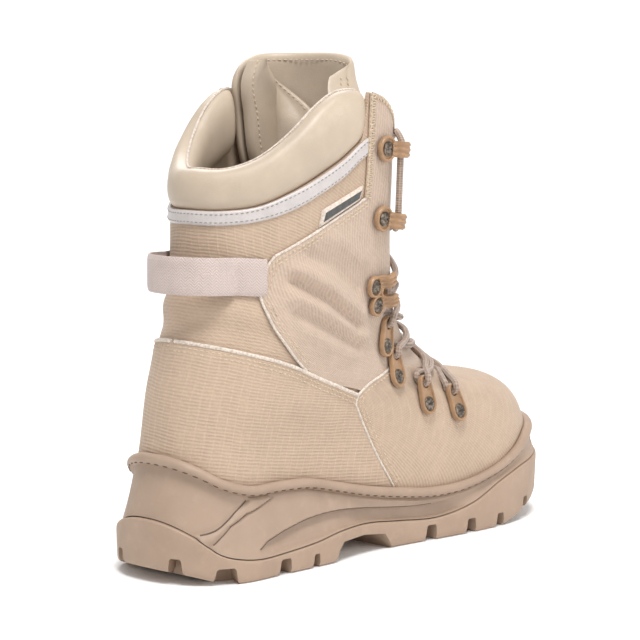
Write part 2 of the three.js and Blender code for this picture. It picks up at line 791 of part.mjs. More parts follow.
// The padded roll on the wall's top, from one eyestay round the back to the other. Its foot is
// sewn a little way down the wall's inner face.
function makeCollarPad() {
  const stations = 15;
  const corners = 8;
  const list = [];
  for (let i = 0; i <= stations; i += 1) {
    list.push({ side: -1, around: padStart + 0.01 + (0.99 - padStart) * (i / stations) });
  }
  for (let i = stations - 1; i >= 0; i -= 1) {
    list.push({ side: 1, around: padStart + 0.01 + (0.99 - padStart) * (i / stations) });
  }
  const sections = list.map(({ side, around }) => {
    const low = ringAtHeight(side, around, collarHeight(around, 'padFoot') - collarPadSeam);
    const high = ringAtHeight(side, around, collarHeight(around, 'top'));
    const foot = onUpper(low, side, around);
    const brow = onUpper(high, side, around);
    const normal = normalAt((low + high) / 2, side, around);
    const middle = foot.clone().lerp(brow, 0.5).addScaledVector(normal, -collarPadSink);
    const rise = brow.clone().sub(foot).multiplyScalar(0.5);
    const section = [];
    for (let k = 0; k < corners; k += 1) {
      const angle = (2 * Math.PI * k) / corners + Math.PI / corners;
      const out = Math.cos(angle) * collarPadThickness * 0.5;
      section.push(middle.clone().addScaledVector(normal, out).addScaledVector(rise, Math.sin(angle)));
    }
    return section;
  });
  return loftBody(sections);
}

// The webbing loop stands off the back of the shaft, its ends sewn under the ankle panels.
function makePullStrap() {
  const across = 18;
  const outer = [];
  const inner = [];
  for (let i = 0; i <= across; i += 1) {
    const u = (2 * i) / across - 1;
    const side = u < 0 ? -1 : 1;
    const around = 1 - (1 - strapEnd) * Math.abs(u);
    const t = strapRing;
    const off = seatGap + facetRoom + strapStandOff * Math.max(0, Math.cos((u * Math.PI) / 1.25)) ** 0.8;
    const column = onUpper(t, side, around);
    const normal = normalAt(t, side, around);
    normal.z = 0;
    normal.normalize();
    const low = column.clone().addScaledVector(normal, off + strapSeat);
    low.z -= strapWidth / 2;
    const high = low.clone();
    high.z += strapWidth;
    outer.push([low, high].map((corner) => corner.clone().addScaledVector(normal, strapThickness)));
    inner.push([low, high]);
  }
  return sheetBody(outer, inner, false, null);
}

// The ring just over the cup's bead, where a panel's foot shows.
function overBead(side, around) {
  return ringAtHeight(side, around, beadTop(side, around) + seamWidth);
}

// The vamp's panel wraps the forefoot up to the throat's base and back to its rear seam.
function makeVampPanel() {
  return makePanel((u, v) => {
    const side = u < 0.5 ? -1 : 1;
    const w = Math.abs(2 * u - 1);
    const foot = overBead(side, w * vampRear[0].around);
    const t = foot + (along(vampTop, 'across', 'ring', w) - foot) * v;
    return { t, side, around: w * along(vampRear, 'ring', 'around', t) };
  }, 24, 7);
}

// The counter's panel wraps the heel between the two rear seams of the vamp.
function makeCounterPanel() {
  const corner = counterTop[0].around;
  return makePanel((u, v) => {
    const side = u < 0.5 ? 1 : -1;
    const w = Math.abs(2 * u - 1);
    const foot = overBead(side, 1 - w * (1 - vampRear[2].around));
    const high = along(counterTop, 'around', 'ring', 1 - w * (1 - corner));
    const t = foot + (high - foot) * v;
    const front = along(vampRear, 'ring', 'around', t) + seamWidth / halfRing(t, side).length;
    return { t, side, around: 1 - w * (1 - front) };
  }, 26, 4);
}

// The ankle's panel lies between the eyestay, the counter's seam and its own slanting rear edge.
function makeAnklePanel(side) {
  return makePanel((u, v) => {
    const low = along(ankleFoot, 'across', 'ring', u);
    const high = along(ankleTop, 'across', 'ring', u);
    const t = low + (high - low) * v;
    const rear = along(ankleRear, 'ring', 'around', t);
    return { t, side, around: panelFront + (rear - panelFront) * u };
  }, 7, 6);
}

// The eyestay's strip runs beside the throat from the instep up to the collar.
function makeEyestay(side) {
  return makePanel((u, v) => {
    const low = along(stayFoot, 'across', 'ring', u);
    const topAround = stayFront + (stayRear - stayFront) * u;
    const high = ringAtHeight(side, topAround, collarHeight(topAround, 'top') - seamWidth);
    const t = low + (high - low) * v;
    const front = (throatHalf(t) + seamWidth / 2) / halfRing(t, side).length;
    return { t, side, around: front + (stayRear - front) * u };
  }, 6, 8);
}

// The reflective band runs round the shaft under the pad.
function makeBand() {
  return makePanel((u, v) => {
    const side = u < 0.5 ? 1 : -1;
    const w = Math.abs(2 * u - 1);
    const around = 1 - w * (1 - padStart);
    const low = collarHeight(around, 'bandFoot');
    const high = collarHeight(around, 'padFoot') - seamWidth / 2;
    return { t: ringAtHeight(side, around, low + (high - low) * v), side, around };
  }, 24, 1);
}

// A plain tab sewn into the outer ankle panel's top edge.
function makeLabel() {
  const ankleRearTop = ankleRear[ankleRear.length - 1].around;
  return makePanel((u, v) => {
    const around = labelFront + (labelRear - labelFront) * u + labelSlant * v;
    const edge = (around - panelFront) / (ankleRearTop - panelFront);
    const t = along(ankleTop, 'across', 'ring', edge) + labelDrop + labelHeight * v;
    return { t, side: -1, around };
  }, 3, 1);
}

// A small frame on the upper's face: x to the throat, z out of the face.
function seatOn(mesh, spot, side, lift, towards) {
  const point = place(spot.ring, side, spot.around, lift);
  const out = normalAt(spot.ring, side, spot.around);
  const ahead = towards.clone().sub(point);
  ahead.addScaledVector(out, -ahead.dot(out)).normalize();
  const across = new THREE.Vector3().crossVectors(out, ahead);
  mesh.matrixAutoUpdate = true;
  mesh.setRotationFromMatrix(new THREE.Matrix4().makeBasis(ahead, across, out));
  mesh.position.copy(point);
}

const sideName = { '-1': 'outer', 1: 'inner' };
const seatLift = seatGap + facetRoom + panelThickness + hardwareClearance;

function loopPlate() {
  const shape = new THREE.Shape();
  const radius = loopWidth / 2;
  const far = loopLength - radius - loopNeckRadius;
  shape.absarc(0, 0, radius, Math.PI / 2, (3 * Math.PI) / 2, false);
  shape.absarc(far, 0, loopNeckRadius, -Math.PI / 2, Math.PI / 2, false);
  const hole = new THREE.Path();
  hole.absarc(far, 0, loopHoleRadius, 0, 2 * Math.PI, true);
  shape.holes.push(hole);
  const settings = { depth: loopThickness, bevelEnabled: false, curveSegments: 4 };
  return new THREE.ExtrudeGeometry(shape, settings);
}

function rivetHead() {
  const profile = [
    new THREE.Vector2(0, 0),
    new THREE.Vector2(rivetRadius, 0),
    new THREE.Vector2(rivetRadius * 0.8, rivetRise * 0.7),
    new THREE.Vector2(0, rivetRise),
  ];
  return new THREE.LatheGeometry(profile, 7).rotateX(Math.PI / 2);
}

// The hook's plate with an arm that rises and bends out towards the shin.
function hookBody(plates) {
  const shape = new THREE.Shape();
  shape.absarc(0, 0, hookPlateRadius, 0, 2 * Math.PI);
  const settings = { depth: loopThickness, bevelEnabled: false, curveSegments: 5 };
  const disc = new THREE.ExtrudeGeometry(shape, settings);
  let solid = null;
  for (const y of plates) {
    const plate = toSolid(disc.clone().translate(0, y, 0));
    solid = solid ? solid.add(plate) : plate;
  }
  const root = rivetRadius + 1;
  const post = hookReach - laceTurnReach - hookPostDepth;
  const under = loopThickness + hookArmRise;
  const over = under + hookArmThickness;
  const arm = new THREE.Shape();
  arm.moveTo(root, 0);
  arm.lineTo(post + hookPostDepth, 0);
  arm.lineTo(post + hookPostDepth, under);
  arm.lineTo(hookReach + hookArmReach, under);
  arm.lineTo(hookReach + hookArmReach, over);
  arm.lineTo(post, over);
  arm.lineTo(post, loopThickness);
  arm.lineTo(root, loopThickness);
  const armBody = new THREE.ExtrudeGeometry(arm, { depth: hookArmWidth, bevelEnabled: false });
  armBody.rotateX(Math.PI / 2);
  for (const y of plates) {
    solid = solid.add(toSolid(armBody.clone().translate(0, y + hookArmWidth / 2, 0)));
  }
  return fromSolid(solid);
}

function addRivet(name, parent, y) {
  const rivet = add(name, rivetHead(), colours.metal, 0.35, 1);
  const shift = new THREE.Vector3(0, y, loopThickness + seatGap).applyQuaternion(parent.quaternion);
  rivet.quaternion.copy(parent.quaternion);
  rivet.position.copy(parent.position).add(shift);
}

// Loops, hooks and rivets on both sides. Returns where the lace turns at each, from the lowest up.
function makeHardware() {
  const turns = { '-1': [], 1: [] };
  for (const side of [-1, 1]) {
    laceLoops.forEach((spot, i) => {
      const centre = onUpper(Math.max(spot.ring + aimRings, lowestAimRing), side, 0);
      const loop = add(`lace_loop_${i + 1}_${sideName[side]}`, loopPlate(), colours.plastic, 0.5);
      seatOn(loop, spot, side, seatLift, centre);
      addRivet(`rivet_${i + 1}_${sideName[side]}`, loop, 0);
      const reach = loopLength - loopWidth / 2 + laceTurnReach;
      const tip = new THREE.Vector3(reach, 0, loopThickness / 2);
      turns[side].push(tip.applyQuaternion(loop.quaternion).add(loop.position));
    });
    const toFront = (spot) => onUpper(spot.ring, side, 0);
    const plates = [-hookSpacing / 2, hookSpacing / 2];
    const pair = add(`double_hook_${sideName[side]}`, hookBody(plates), colours.plastic, 0.5);
    seatOn(pair, doubleHookAt, side, seatLift, toFront(doubleHookAt));
    plates.forEach((y, i) => addRivet(`rivet_${5 + i}_${sideName[side]}`, pair, y));
    const crook = new THREE.Vector3(hookReach + 1, 0, loopThickness + hookArmRise / 2);
    turns[side].push(crook.clone().applyQuaternion(pair.quaternion).add(pair.position));
    hooks.forEach((spot, i) => {
      const hook = add(`hook_${i + 1}_${sideName[side]}`, hookBody([0]), colours.plastic, 0.5);
      seatOn(hook, spot, side, seatLift, toFront(spot));
      addRivet(`rivet_${7 + i}_${sideName[side]}`, hook, 0);
      turns[side].push(crook.clone().applyQuaternion(hook.quaternion).add(hook.position));
    });
  }
  return turns;
}

// The nearest ring and share around to a point beside the upper, and its distance from there.
function nearestOnUpper(point, side) {
  let best = { distance: Infinity };
  const ringStep = 0.1;
  const aroundStep = 0.01;
  for (let t = laceLoops[0].ring; t < rings.length - 1; t += ringStep) {
    for (let around = 0; around < panelFront; around += aroundStep) {
      const distance = onUpper(t, side, around).distanceTo(point);
      if (distance < best.distance) best = { t, around, distance };
    }
  }
  return best;
}

// One strand of lace between two turns, over the tongue by the ring given for its middle.
function strand(from, to, middleRing) {
  const steps = 6;
  const path = [];
  for (let i = 0; i <= steps; i += 1) {
    const u = (2 * i) / steps - 1;
    const end = u < 0 ? from : to;
    if (Math.abs(u) === 1) {
      path.push(end.point.clone());
      continue;
    }
    const part = Math.abs(u) ** 1.2;
    const t = middleRing + (end.t - middleRing) * part;
    const lift = laceLift + (end.distance - laceLift) * part;
    path.push(place(t, end.side, end.around * Math.abs(u), lift));
  }
  return tube(path);
}

function tube(path) {
  const sides = 5;
  const section = new THREE.Shape();
  for (let i = 0; i < sides; i += 1) {
    const angle = (2 * Math.PI * i) / sides;
    const x = (laceDiameter / 2) * Math.cos(angle);
    const y = (laceDiameter / 2) * Math.sin(angle);
    if (i === 0) section.moveTo(x, y);
    else section.lineTo(x, y);
  }
  const curve = new THREE.CatmullRomCurve3(path, false, 'centripetal');
  return toSolid(new THREE.ExtrudeGeometry(section, {
    steps: 6, bevelEnabled: false, extrudePath: curve,
  }));
}

// The lace bars the lowest loops, crosses between each pair above, and climbs to the top hooks.
function makeLace(turns) {
  const ends = {};
  for (const side of [-1, 1]) {
    ends[side] = turns[side].map((point) => ({ point, side, ...nearestOnUpper(point, side) }));
  }
  let lace = strand(ends[-1][0], ends[1][0], laceMiddles[0]);
  for (let i = 0; i < 5; i += 1) {
    lace = lace.add(strand(ends[-1][i], ends[1][i + 1], laceMiddles[i + 1]));
    lace = lace.add(strand(ends[-1][i + 1], ends[1][i], laceMiddles[i + 1]));
  }
  for (const side of [-1, 1]) {
    const [low, high] = [turns[side][5], turns[side][6]];
    const middle = low.clone().lerp(high, 0.5);
    middle.x += laceDiameter * 0.3;
    lace = lace.add(tube([low, middle, high]));
  }
  return fromSolid(lace);
}

add('upper', makeUpper(), colours.fabric, 0.85);
add('midsole', makeMidsole(), colours.rubber, 0.7);
add('outsole', makeOutsole(), colours.rubber, 0.75);
add('insole', makeInsole(), colours.insole, 0.9);
add('tongue', makeTongue(), colours.leather, 0.55);
add('collar_pad', makeCollarPad(), colours.leather, 0.55);
add('pull_strap', makePullStrap(), colours.webbing, 0.85);
add('vamp_panel', makeVampPanel(), colours.fabric, 0.85);
add('counter_panel', makeCounterPanel(), colours.fabric, 0.85);
add('ankle_panel_outer', makeAnklePanel(-1), colours.fabric, 0.85);
add('ankle_panel_inner', makeAnklePanel(1), colours.fabric, 0.85);
add('eyestay_outer', makeEyestay(-1), colours.fabric, 0.85);
add('eyestay_inner', makeEyestay(1), colours.fabric, 0.85);
add('reflective_band', makeBand(), colours.band, 0.5);
add('label_tab', makeLabel(), colours.label, 0.7);
const laceTurns = makeHardware();
add('lace', makeLace(laceTurns), colours.lace, 0.8);

export default boot;
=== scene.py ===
import math

import bpy
import numpy as np
from mathutils import Matrix, Vector


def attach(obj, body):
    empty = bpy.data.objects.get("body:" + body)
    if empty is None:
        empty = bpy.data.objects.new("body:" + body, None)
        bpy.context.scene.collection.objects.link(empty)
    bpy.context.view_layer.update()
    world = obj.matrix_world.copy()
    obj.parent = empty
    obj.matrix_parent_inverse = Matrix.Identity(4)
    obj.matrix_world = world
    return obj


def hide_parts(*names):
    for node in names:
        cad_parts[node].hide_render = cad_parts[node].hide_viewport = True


# The looks of a right-foot military boot. Lengths are millimetres until a mesh is made.
# +X is the toe, +Y the inner side, +Z up, and the origin is under the middle of the heel.

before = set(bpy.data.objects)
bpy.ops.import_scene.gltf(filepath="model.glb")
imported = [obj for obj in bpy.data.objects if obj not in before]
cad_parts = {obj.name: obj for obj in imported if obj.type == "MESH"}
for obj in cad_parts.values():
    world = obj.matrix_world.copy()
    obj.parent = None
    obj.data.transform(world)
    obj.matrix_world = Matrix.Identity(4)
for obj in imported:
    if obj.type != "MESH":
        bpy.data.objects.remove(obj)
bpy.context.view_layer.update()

MM = 0.001
SOLE_LENGTH = 305
HEEL_SET_BACK = 45
BALL_WIDTH = 112
SHAFT_HEIGHT = 250
FEATHER_HEIGHT = 28
UPPER_HEIGHT = SHAFT_HEIGHT - FEATHER_HEIGHT
WALL = 2.4
BEAD_HEIGHT = 6.5
BEAD_WIDTH = 4.4
TONGUE_THICKNESS = 5
PAD_THICKNESS = 16
PAD_SINK = 6.2
LACE_DIAMETER = 3.5
SEAT_LIFT = 2.8
SIDES = ((-1, "outer"), (1, "inner"))

# Rings of the upper from the feather line up: ends as shares of the sole's length, heights of
# the upper's height, and widths and roundings of the ball's width.
rings = {
    "front": [0.944, 0.974, 0.949, 0.880, 0.756, 0.651, 0.577, 0.538, 0.518, 0.511, 0.508],
    "front_up": [-0.005, 0.068, 0.173, 0.228, 0.250, 0.320, 0.423, 0.541, 0.662, 0.806, 1.0],
    "back": [0.046, 0.039, 0.046, 0.056, 0.069, 0.082, 0.092, 0.102, 0.105, 0.108, 0.110],
    "back_up": [0.0, 0.099, 0.189, 0.284, 0.360, 0.428, 0.500, 0.581, 0.676, 0.793, 0.973],
    "sag": [0.036, 0.036, 0.027, 0.018, 0.009, 0.0, 0.0, 0.0, 0.0, 0.0, 0.0],
    "heel": [0.277, 0.295, 0.286, 0.277, 0.268, 0.268, 0.268, 0.268, 0.268, 0.268, 0.286],
    "waist": [0.304, 0.330, 0.339, 0.357, 0.357, 0.357, 0.357, 0.357, 0.366, 0.375, 0.393],
    "ball": [0.429, 0.446, 0.429, 0.384, 0.348, 0.339, 0.357, 0.375, 0.393, 0.411, 0.429],
    "toe": [0.393, 0.420, 0.411, 0.339, 0.268, 0.250, 0.286, 0.339, 0.375, 0.402, 0.411],
    "back_round": [0.304, 0.321, 0.339, 0.357, 0.375, 0.393, 0.411, 0.429, 0.429, 0.429, 0.429],
    "front_round": [0.536, 0.571, 0.589, 0.554, 0.482, 0.393, 0.321, 0.277, 0.259, 0.250, 0.250],
    "lean": [0.054, 0.054, 0.054, 0.045, 0.036, 0.027, 0.018, 0.009, 0.0, 0.0, 0.0],
}
RING_COUNT = len(rings["front"])

throat = {"ring": [4.15, 4.5, 5, 6, 7.5, 9, 10], "half": [0, 0.085, 0.12, 0.145, 0.165, 0.18, 0.2]}

collar = {
    "around": [0.0, 0.2, 0.4, 0.5, 0.573, 0.69, 0.79, 0.89, 1.0],
    "top": [0.91, 0.935, 0.978, 0.978, 0.95, 0.878, 0.829, 0.806, 0.806],
    "pad_foot": [0.9, 0.89, 0.869, 0.82, 0.79, 0.747, 0.717, 0.707, 0.707],
    "band_foot": [0.83, 0.83, 0.824, 0.775, 0.745, 0.703, 0.68, 0.671, 0.671],
}

sole_side = {
    "along": [0.0, 0.03, 0.06, 0.09, 0.14, 0.2, 0.27, 0.33, 0.41, 0.49, 0.58, 0.67, 0.75, 0.81,
              0.86, 0.92, 1.0],
    "flare": [0.107, 0.107, 0.107, 0.107, 0.107, 0.107, 0.107, 0.094, 0.05, 0.036, 0.045, 0.058,
              0.063, 0.067, 0.071, 0.076, 0.085],
    "tread": [0.24, 0.15, 0.05, 0, 0, 0, 0, 0, 0, 0, 0, 0, 0, 0.14, 0.29, 0.45, 0.62],
    "edge": [1.14, 0.86, 0.57, 0.45, 0.38, 0.4, 0.47, 0.57, 0.58, 0.5, 0.44, 0.6, 0.94, 1.13, 1.2,
             1.25, 1.29],
    "bead": [2.36, 2.32, 2.1, 1.86, 1.69, 1.68, 1.64, 1.5, 1.3, 1.16, 1.05, 1.08, 1.28, 1.55,
             1.79, 1.93, 2.0],
}


def unit(vectors):
    return vectors / np.linalg.norm(vectors, axis=-1, keepdims=True)


def run_of(path):
    """Length along a path, or down the columns of a grid of points, up to each point."""
    steps = np.linalg.norm(np.diff(path, axis=0), axis=-1)
    return np.concatenate([np.zeros_like(steps[:1]), np.cumsum(steps, axis=0)])


def along(table, key, column, where):
    """Smooth value of one column of a table, by another column."""
    keys = np.asarray(table[key], float)
    values = np.asarray(table[column], float)
    slopes = np.empty_like(values)
    slopes[1:-1] = (values[2:] - values[:-2]) / (keys[2:] - keys[:-2])
    slopes[0] = (values[1] - values[0]) / (keys[1] - keys[0])
    slopes[-1] = (values[-1] - values[-2]) / (keys[-1] - keys[-2])
    where = np.clip(np.asarray(where, float), keys[0], keys[-1])
    i = np.clip(np.searchsorted(keys, where, side="right") - 1, 0, len(keys) - 2)
    span = keys[i + 1] - keys[i]
    f = (where - keys[i]) / span
    rise = f * f * (3 - 2 * f)
    bend = span * slopes[i] * f * (1 - f) ** 2 - span * slopes[i + 1] * f * f * (1 - f)
    return values[i] * (1 - rise) + values[i + 1] * rise + bend


def smooth_step(low, high, value):
    f = np.clip((np.asarray(value, float) - low) / (high - low), 0, 1)
    return f * f * (3 - 2 * f)


def ring_sizes(t):
    i = int(min(max(math.floor(t), 0), RING_COUNT - 2))
    f = t - i
    sizes = {}
    for key, column in rings.items():
        b, c = column[i], column[i + 1]
        a = column[i - 1] if i > 0 else 2 * b - c
        d = column[i + 2] if i + 2 < RING_COUNT else 2 * c - b
        cubic = (3 * b - a - 3 * c + d) * f ** 3
        sizes[key] = 0.5 * (2 * b + (c - a) * f + (2 * a - 5 * b + 4 * c - d) * f * f + cubic)
    return sizes


def round_end(distance, radius):
    fullness = 2.2
    k = np.clip(1 - distance / radius, 0, 1)
    return (1 - k ** fullness) ** (1 / fullness)


def half_ring(t, side, steps=160):
    """Half a ring from the front to the back, on side -1 (outer) or 1 (inner)."""
    ring = ring_sizes(t)
    front = ring["front"] * SOLE_LENGTH - HEEL_SET_BACK
    back = ring["back"] * SOLE_LENGTH - HEEL_SET_BACK
    front_up = FEATHER_HEIGHT + ring["front_up"] * UPPER_HEIGHT
    back_up = FEATHER_HEIGHT + ring["back_up"] * UPPER_HEIGHT
    length = math.hypot(front - back, front_up - back_up)
    s = (1 + np.cos(np.linspace(0, np.pi, steps + 1))) / 2
    width = ring["heel"] * (s - 1 / 3) * (s - 2 / 3) * (s - 1) * -4.5
    width += ring["waist"] * s * (s - 2 / 3) * (s - 1) * 13.5
    width -= ring["ball"] * s * (s - 1 / 3) * (s - 1) * 13.5
    width += ring["toe"] * s * (s - 1 / 3) * (s - 2 / 3) * 4.5
    back_end = round_end(s * length, ring["back_round"] * BALL_WIDTH)
    front_end = round_end((1 - s) * length, ring["front_round"] * BALL_WIDTH)
    x = back + (front - back) * s
    y = ring["lean"] * BALL_WIDTH * s * s + side * width * BALL_WIDTH * back_end * front_end
    z = back_up + (front_up - back_up) * s - ring["sag"] * UPPER_HEIGHT * 4 * s * (1 - s)
    return np.stack([x, y, z], axis=1)


# The upper's face as a table: rows by ring t, columns by q, which runs from -1 at the back
# round the outer side to 0 at the front and on round the inner side to 1 at the back.
T_AXIS = np.linspace(-0.5, 10.6, 445)
Q_AXIS = np.linspace(-1, 1, 801)


def measure_surface():
    """The face's points and normals, each ring's half length, and the length climbed up to it."""
    face = np.zeros((len(T_AXIS), len(Q_AXIS), 3))
    length = np.zeros((len(T_AXIS), 2))
    for row, t in enumerate(T_AXIS):
        for column, side in enumerate((-1, 1)):
            points = half_ring(t, side)
            distance = run_of(points)
            length[row, column] = distance[-1]
            chosen = Q_AXIS <= 0 if side < 0 else Q_AXIS >= 0
            want = np.abs(Q_AXIS[chosen]) * distance[-1]
            for axis in range(3):
                face[row, chosen, axis] = np.interp(want, distance, points[:, axis])
    sideways = np.empty_like(face)
    sideways[:, 1:-1] = face[:, 2:] - face[:, :-2]
    sideways[:, 0] = face[:, 1] - face[:, -2]
    sideways[:, -1] = sideways[:, 0]
    normal = unit(np.cross(sideways, np.gradient(face, axis=0)))
    return face, normal, length.mean(axis=1), run_of(face)


FACE, NORMAL, HALF_LENGTH, CLIMBED = measure_surface()


def sample(table, t, q):
    t, q = np.broadcast_arrays(np.asarray(t, float), np.asarray(q, float))
    row = np.clip((t - T_AXIS[0]) / (T_AXIS[1] - T_AXIS[0]), 0, len(T_AXIS) - 1.001)
    column = np.clip((q - Q_AXIS[0]) / (Q_AXIS[1] - Q_AXIS[0]), 0, len(Q_AXIS) - 1.001)
    i, j = row.astype(int), column.astype(int)
    f, g = row - i, column - j
    if table.ndim == 3:
        f, g = f[..., None], g[..., None]
    low = table[i, j] * (1 - g) + table[i, j + 1] * g
    high = table[i + 1, j] * (1 - g) + table[i + 1, j + 1] * g
    return low * (1 - f) + high * f


def at(t, q):
    return sample(FACE, t, q)


def out_of(t, q):
    return unit(sample(NORMAL, t, q))


def half_length(t):
    return np.interp(t, T_AXIS, HALF_LENGTH)


def ring_at(q, height):
    """The ring on which the face reaches a height, for arrays of q and height."""
    q, height = np.broadcast_arrays(np.asarray(q, float), np.asarray(height, float))
    low = np.full(q.shape, 0.0)
    high = np.full(q.shape, 10.5)
    for _ in range(22):
        middle = (low + high) / 2
        below = at(middle, q)[..., 2] < height
        low = np.where(below, middle, low)
        high = np.where(below, high, middle)
    return (low + high) / 2


def collar_height(around, column):
    return FEATHER_HEIGHT + UPPER_HEIGHT * along(collar, "around", column, np.abs(around))


def throat_half(t):
    opening = BALL_WIDTH * along(throat, "ring", "half", t)
    return np.where(np.asarray(t) <= throat["ring"][0], 0.0, opening)


# Soft creases, listed one by one: a line of (t, around) on both sides, its width and its height
# in millimetres, with minus for a trough. From the ankle's folds to the shaft's and the vamp's.
creases = [
    ([(7.0, 0.67), (6.65, 0.56), (6.0, 0.42)], 4.6, 3.2),
    ([(6.75, 0.68), (6.38, 0.56), (5.75, 0.44)], 3.8, -3.4),
    ([(6.3, 0.68), (5.95, 0.57), (5.35, 0.43)], 5.0, 3.0),
    ([(6.0, 0.67), (5.65, 0.58), (5.1, 0.46)], 3.8, -2.8),
    ([(5.5, 0.66), (5.15, 0.58), (4.8, 0.50)], 5.0, 1.4),
    ([(7.35, 0.62), (7.1, 0.53), (6.6, 0.43)], 3.8, -1.6),
    ([(7.7, 0.55), (7.55, 0.48), (7.3, 0.41)], 5.0, 1.2),
    ([(7.5, 0.56), (7.1, 0.47), (6.9, 0.40)], 6.0, -1.0),
    ([(6.6, 0.98), (6.3, 0.88), (6.2, 0.80)], 6.0, -1.1),
    ([(5.5, 0.98), (5.3, 0.88), (5.2, 0.78)], 7.0, -1.3),
    ([(6.0, 0.99), (5.8, 0.88), (5.7, 0.78)], 7.0, 0.9),
    ([(3.9, 0.70), (3.5, 0.64), (2.9, 0.62)], 6.0, -0.5),
    ([(3.1, 0.50), (3.2, 0.40), (3.5, 0.30)], 9.0, -0.7),
    ([(2.4, 0.52), (2.5, 0.42), (2.9, 0.30)], 9.0, 0.5),
]


def crease_lines():
    lines = []
    run = np.linspace(0, 2, 15)
    for points, width, height in creases:
        t = np.interp(run, [0, 1, 2], [p[0] for p in points])
        around = np.interp(run, [0, 1, 2], [p[1] for p in points])
        for side in (-1, 1):
            lines.append((at(t, side * around), width, height))
    return lines


CREASES = crease_lines()


def relief(points):
    """How far the creases lift the face at points on it."""
    flat = points.reshape(-1, 3)
    lift = np.zeros(len(flat))
    for line, width, height in CREASES:
        near = np.full(len(flat), np.inf)
        for spot in line:
            near = np.minimum(near, np.sum((flat - spot) ** 2, axis=1))
        lift += height * np.exp(-near / width ** 2)
    return lift.reshape(points.shape[:-1])


def place(t, q, lift, creased=True):
    t, q = np.broadcast_arrays(np.asarray(t, float), np.asarray(q, float))
    points = at(t, q)
    total = np.asarray(lift, float) + (relief(points) if creased else 0.0)
    return points + out_of(t, q) * np.broadcast_to(total, t.shape)[..., None]


def flat_map(t, q, from_back=False):
    """Lengths along the face, for weaves: round it and up it."""
    t, q = np.broadcast_arrays(np.asarray(t, float), np.asarray(q, float))
    around = q - np.sign(q) if from_back else q
    return np.stack([around * half_length(t), sample(CLIMBED, t, q)], axis=-1)


# Materials

class Shader:
    """A Principled material with short calls for its nodes."""

    def __init__(self, name, colour, roughness, **sockets):
        self.material = bpy.data.materials.new(name)
        self.material.use_nodes = True
        self.tree = self.material.node_tree
        self.base = self.tree.nodes["Principled BSDF"]
        self.colour = linear(colour)
        self.base.inputs["Base Color"].default_value = self.colour
        self.base.inputs["Roughness"].default_value = roughness
        for socket, value in sockets.items():
            self.base.inputs[socket.replace("_", " ").title()].default_value = value
        self.material.diffuse_color = self.colour

    def node(self, kind, **values):
        made = self.tree.nodes.new(kind)
        for name, value in values.items():
            setattr(made, name, value)
        return made

    def put(self, value, socket):
        if hasattr(value, "is_linked"):
            self.tree.links.new(value, socket)
        else:
            socket.default_value = value

    def math(self, operation, a, b=0.0):
        made = self.node("ShaderNodeMath", operation=operation)
        self.put(a, made.inputs[0])
        self.put(b, made.inputs[1])
        return made.outputs[0]

    def times(self, a, b):
        return self.math("MULTIPLY", a, b)

    def plus(self, a, b):
        return self.math("ADD", a, b)

    def minus(self, a, b):
        return self.math("SUBTRACT", a, b)

    def wave(self, value, pitch):
        return self.math("SINE", self.times(value, 2 * math.pi / pitch))

    def flat(self):
        """The mesh's length map as two values: across and up."""
        made = self.node("ShaderNodeUVMap", uv_map="flat")
        parts = self.node("ShaderNodeSeparateXYZ")
        self.tree.links.new(made.outputs[0], parts.inputs[0])
        return parts.outputs[0], parts.outputs[1]

    def place(self):
        return self.node("ShaderNodeTexCoord").outputs["Object"]

    def noise(self, size_mm, detail=3.0, roughness=0.55):
        made = self.node("ShaderNodeTexNoise")
        self.tree.links.new(self.place(), made.inputs["Vector"])
        made.inputs["Scale"].default_value = 1 / (size_mm * MM)
        made.inputs["Detail"].default_value = detail
        made.inputs["Roughness"].default_value = roughness
        return made.outputs[0]

    def cells(self, size_mm):
        made = self.node("ShaderNodeTexVoronoi", feature="DISTANCE_TO_EDGE")
        self.tree.links.new(self.place(), made.inputs["Vector"])
        made.inputs["Scale"].default_value = 1 / (size_mm * MM)
        return made.outputs[0]

    def span(self, value, low, high, to_low=0.0, to_high=1.0):
        made = self.node("ShaderNodeMapRange", clamp=True)
        self.put(value, made.inputs[0])
        for socket, number in zip(made.inputs[1:5], (low, high, to_low, to_high)):
            socket.default_value = number
        return made.outputs[0]

    def tint(self, steps):
        """Base colour from (factor, colour) steps laid over the plain one."""
        now = self.colour
        for factor, colour in steps:
            mix = self.node("ShaderNodeMix", data_type="RGBA")
            self.put(factor, mix.inputs[0])
            self.put(now, mix.inputs[6])
            self.put(linear(colour), mix.inputs[7])
            now = mix.outputs[2]
        self.put(now, self.base.inputs["Base Color"])

    def rough(self, value):
        self.put(value, self.base.inputs["Roughness"])

    def bump(self, heights):
        """Bumps from (height, depth in millimetres) pairs."""
        last = None
        for height, depth in heights:
            made = self.node("ShaderNodeBump")
            made.inputs["Distance"].default_value = depth * MM
            made.inputs["Strength"].default_value = 1.0
            self.put(height, made.inputs["Height"])
            if last:
                self.tree.links.new(last, made.inputs["Normal"])
            last = made.outputs[0]
        self.tree.links.new(last, self.base.inputs["Normal"])


def linear(colour):
    """An sRGB colour of 0 to 255 as the linear colour that shaders use."""
    parts = [(c / 255) for c in colour]
    light = [c / 12.92 if c <= 0.04045 else ((c + 0.055) / 1.055) ** 2.4 for c in parts]
    return tuple(light) + (1.0,)


def shade(colour, share, more=0):
    return tuple(min(255, c * share + more) for c in colour)


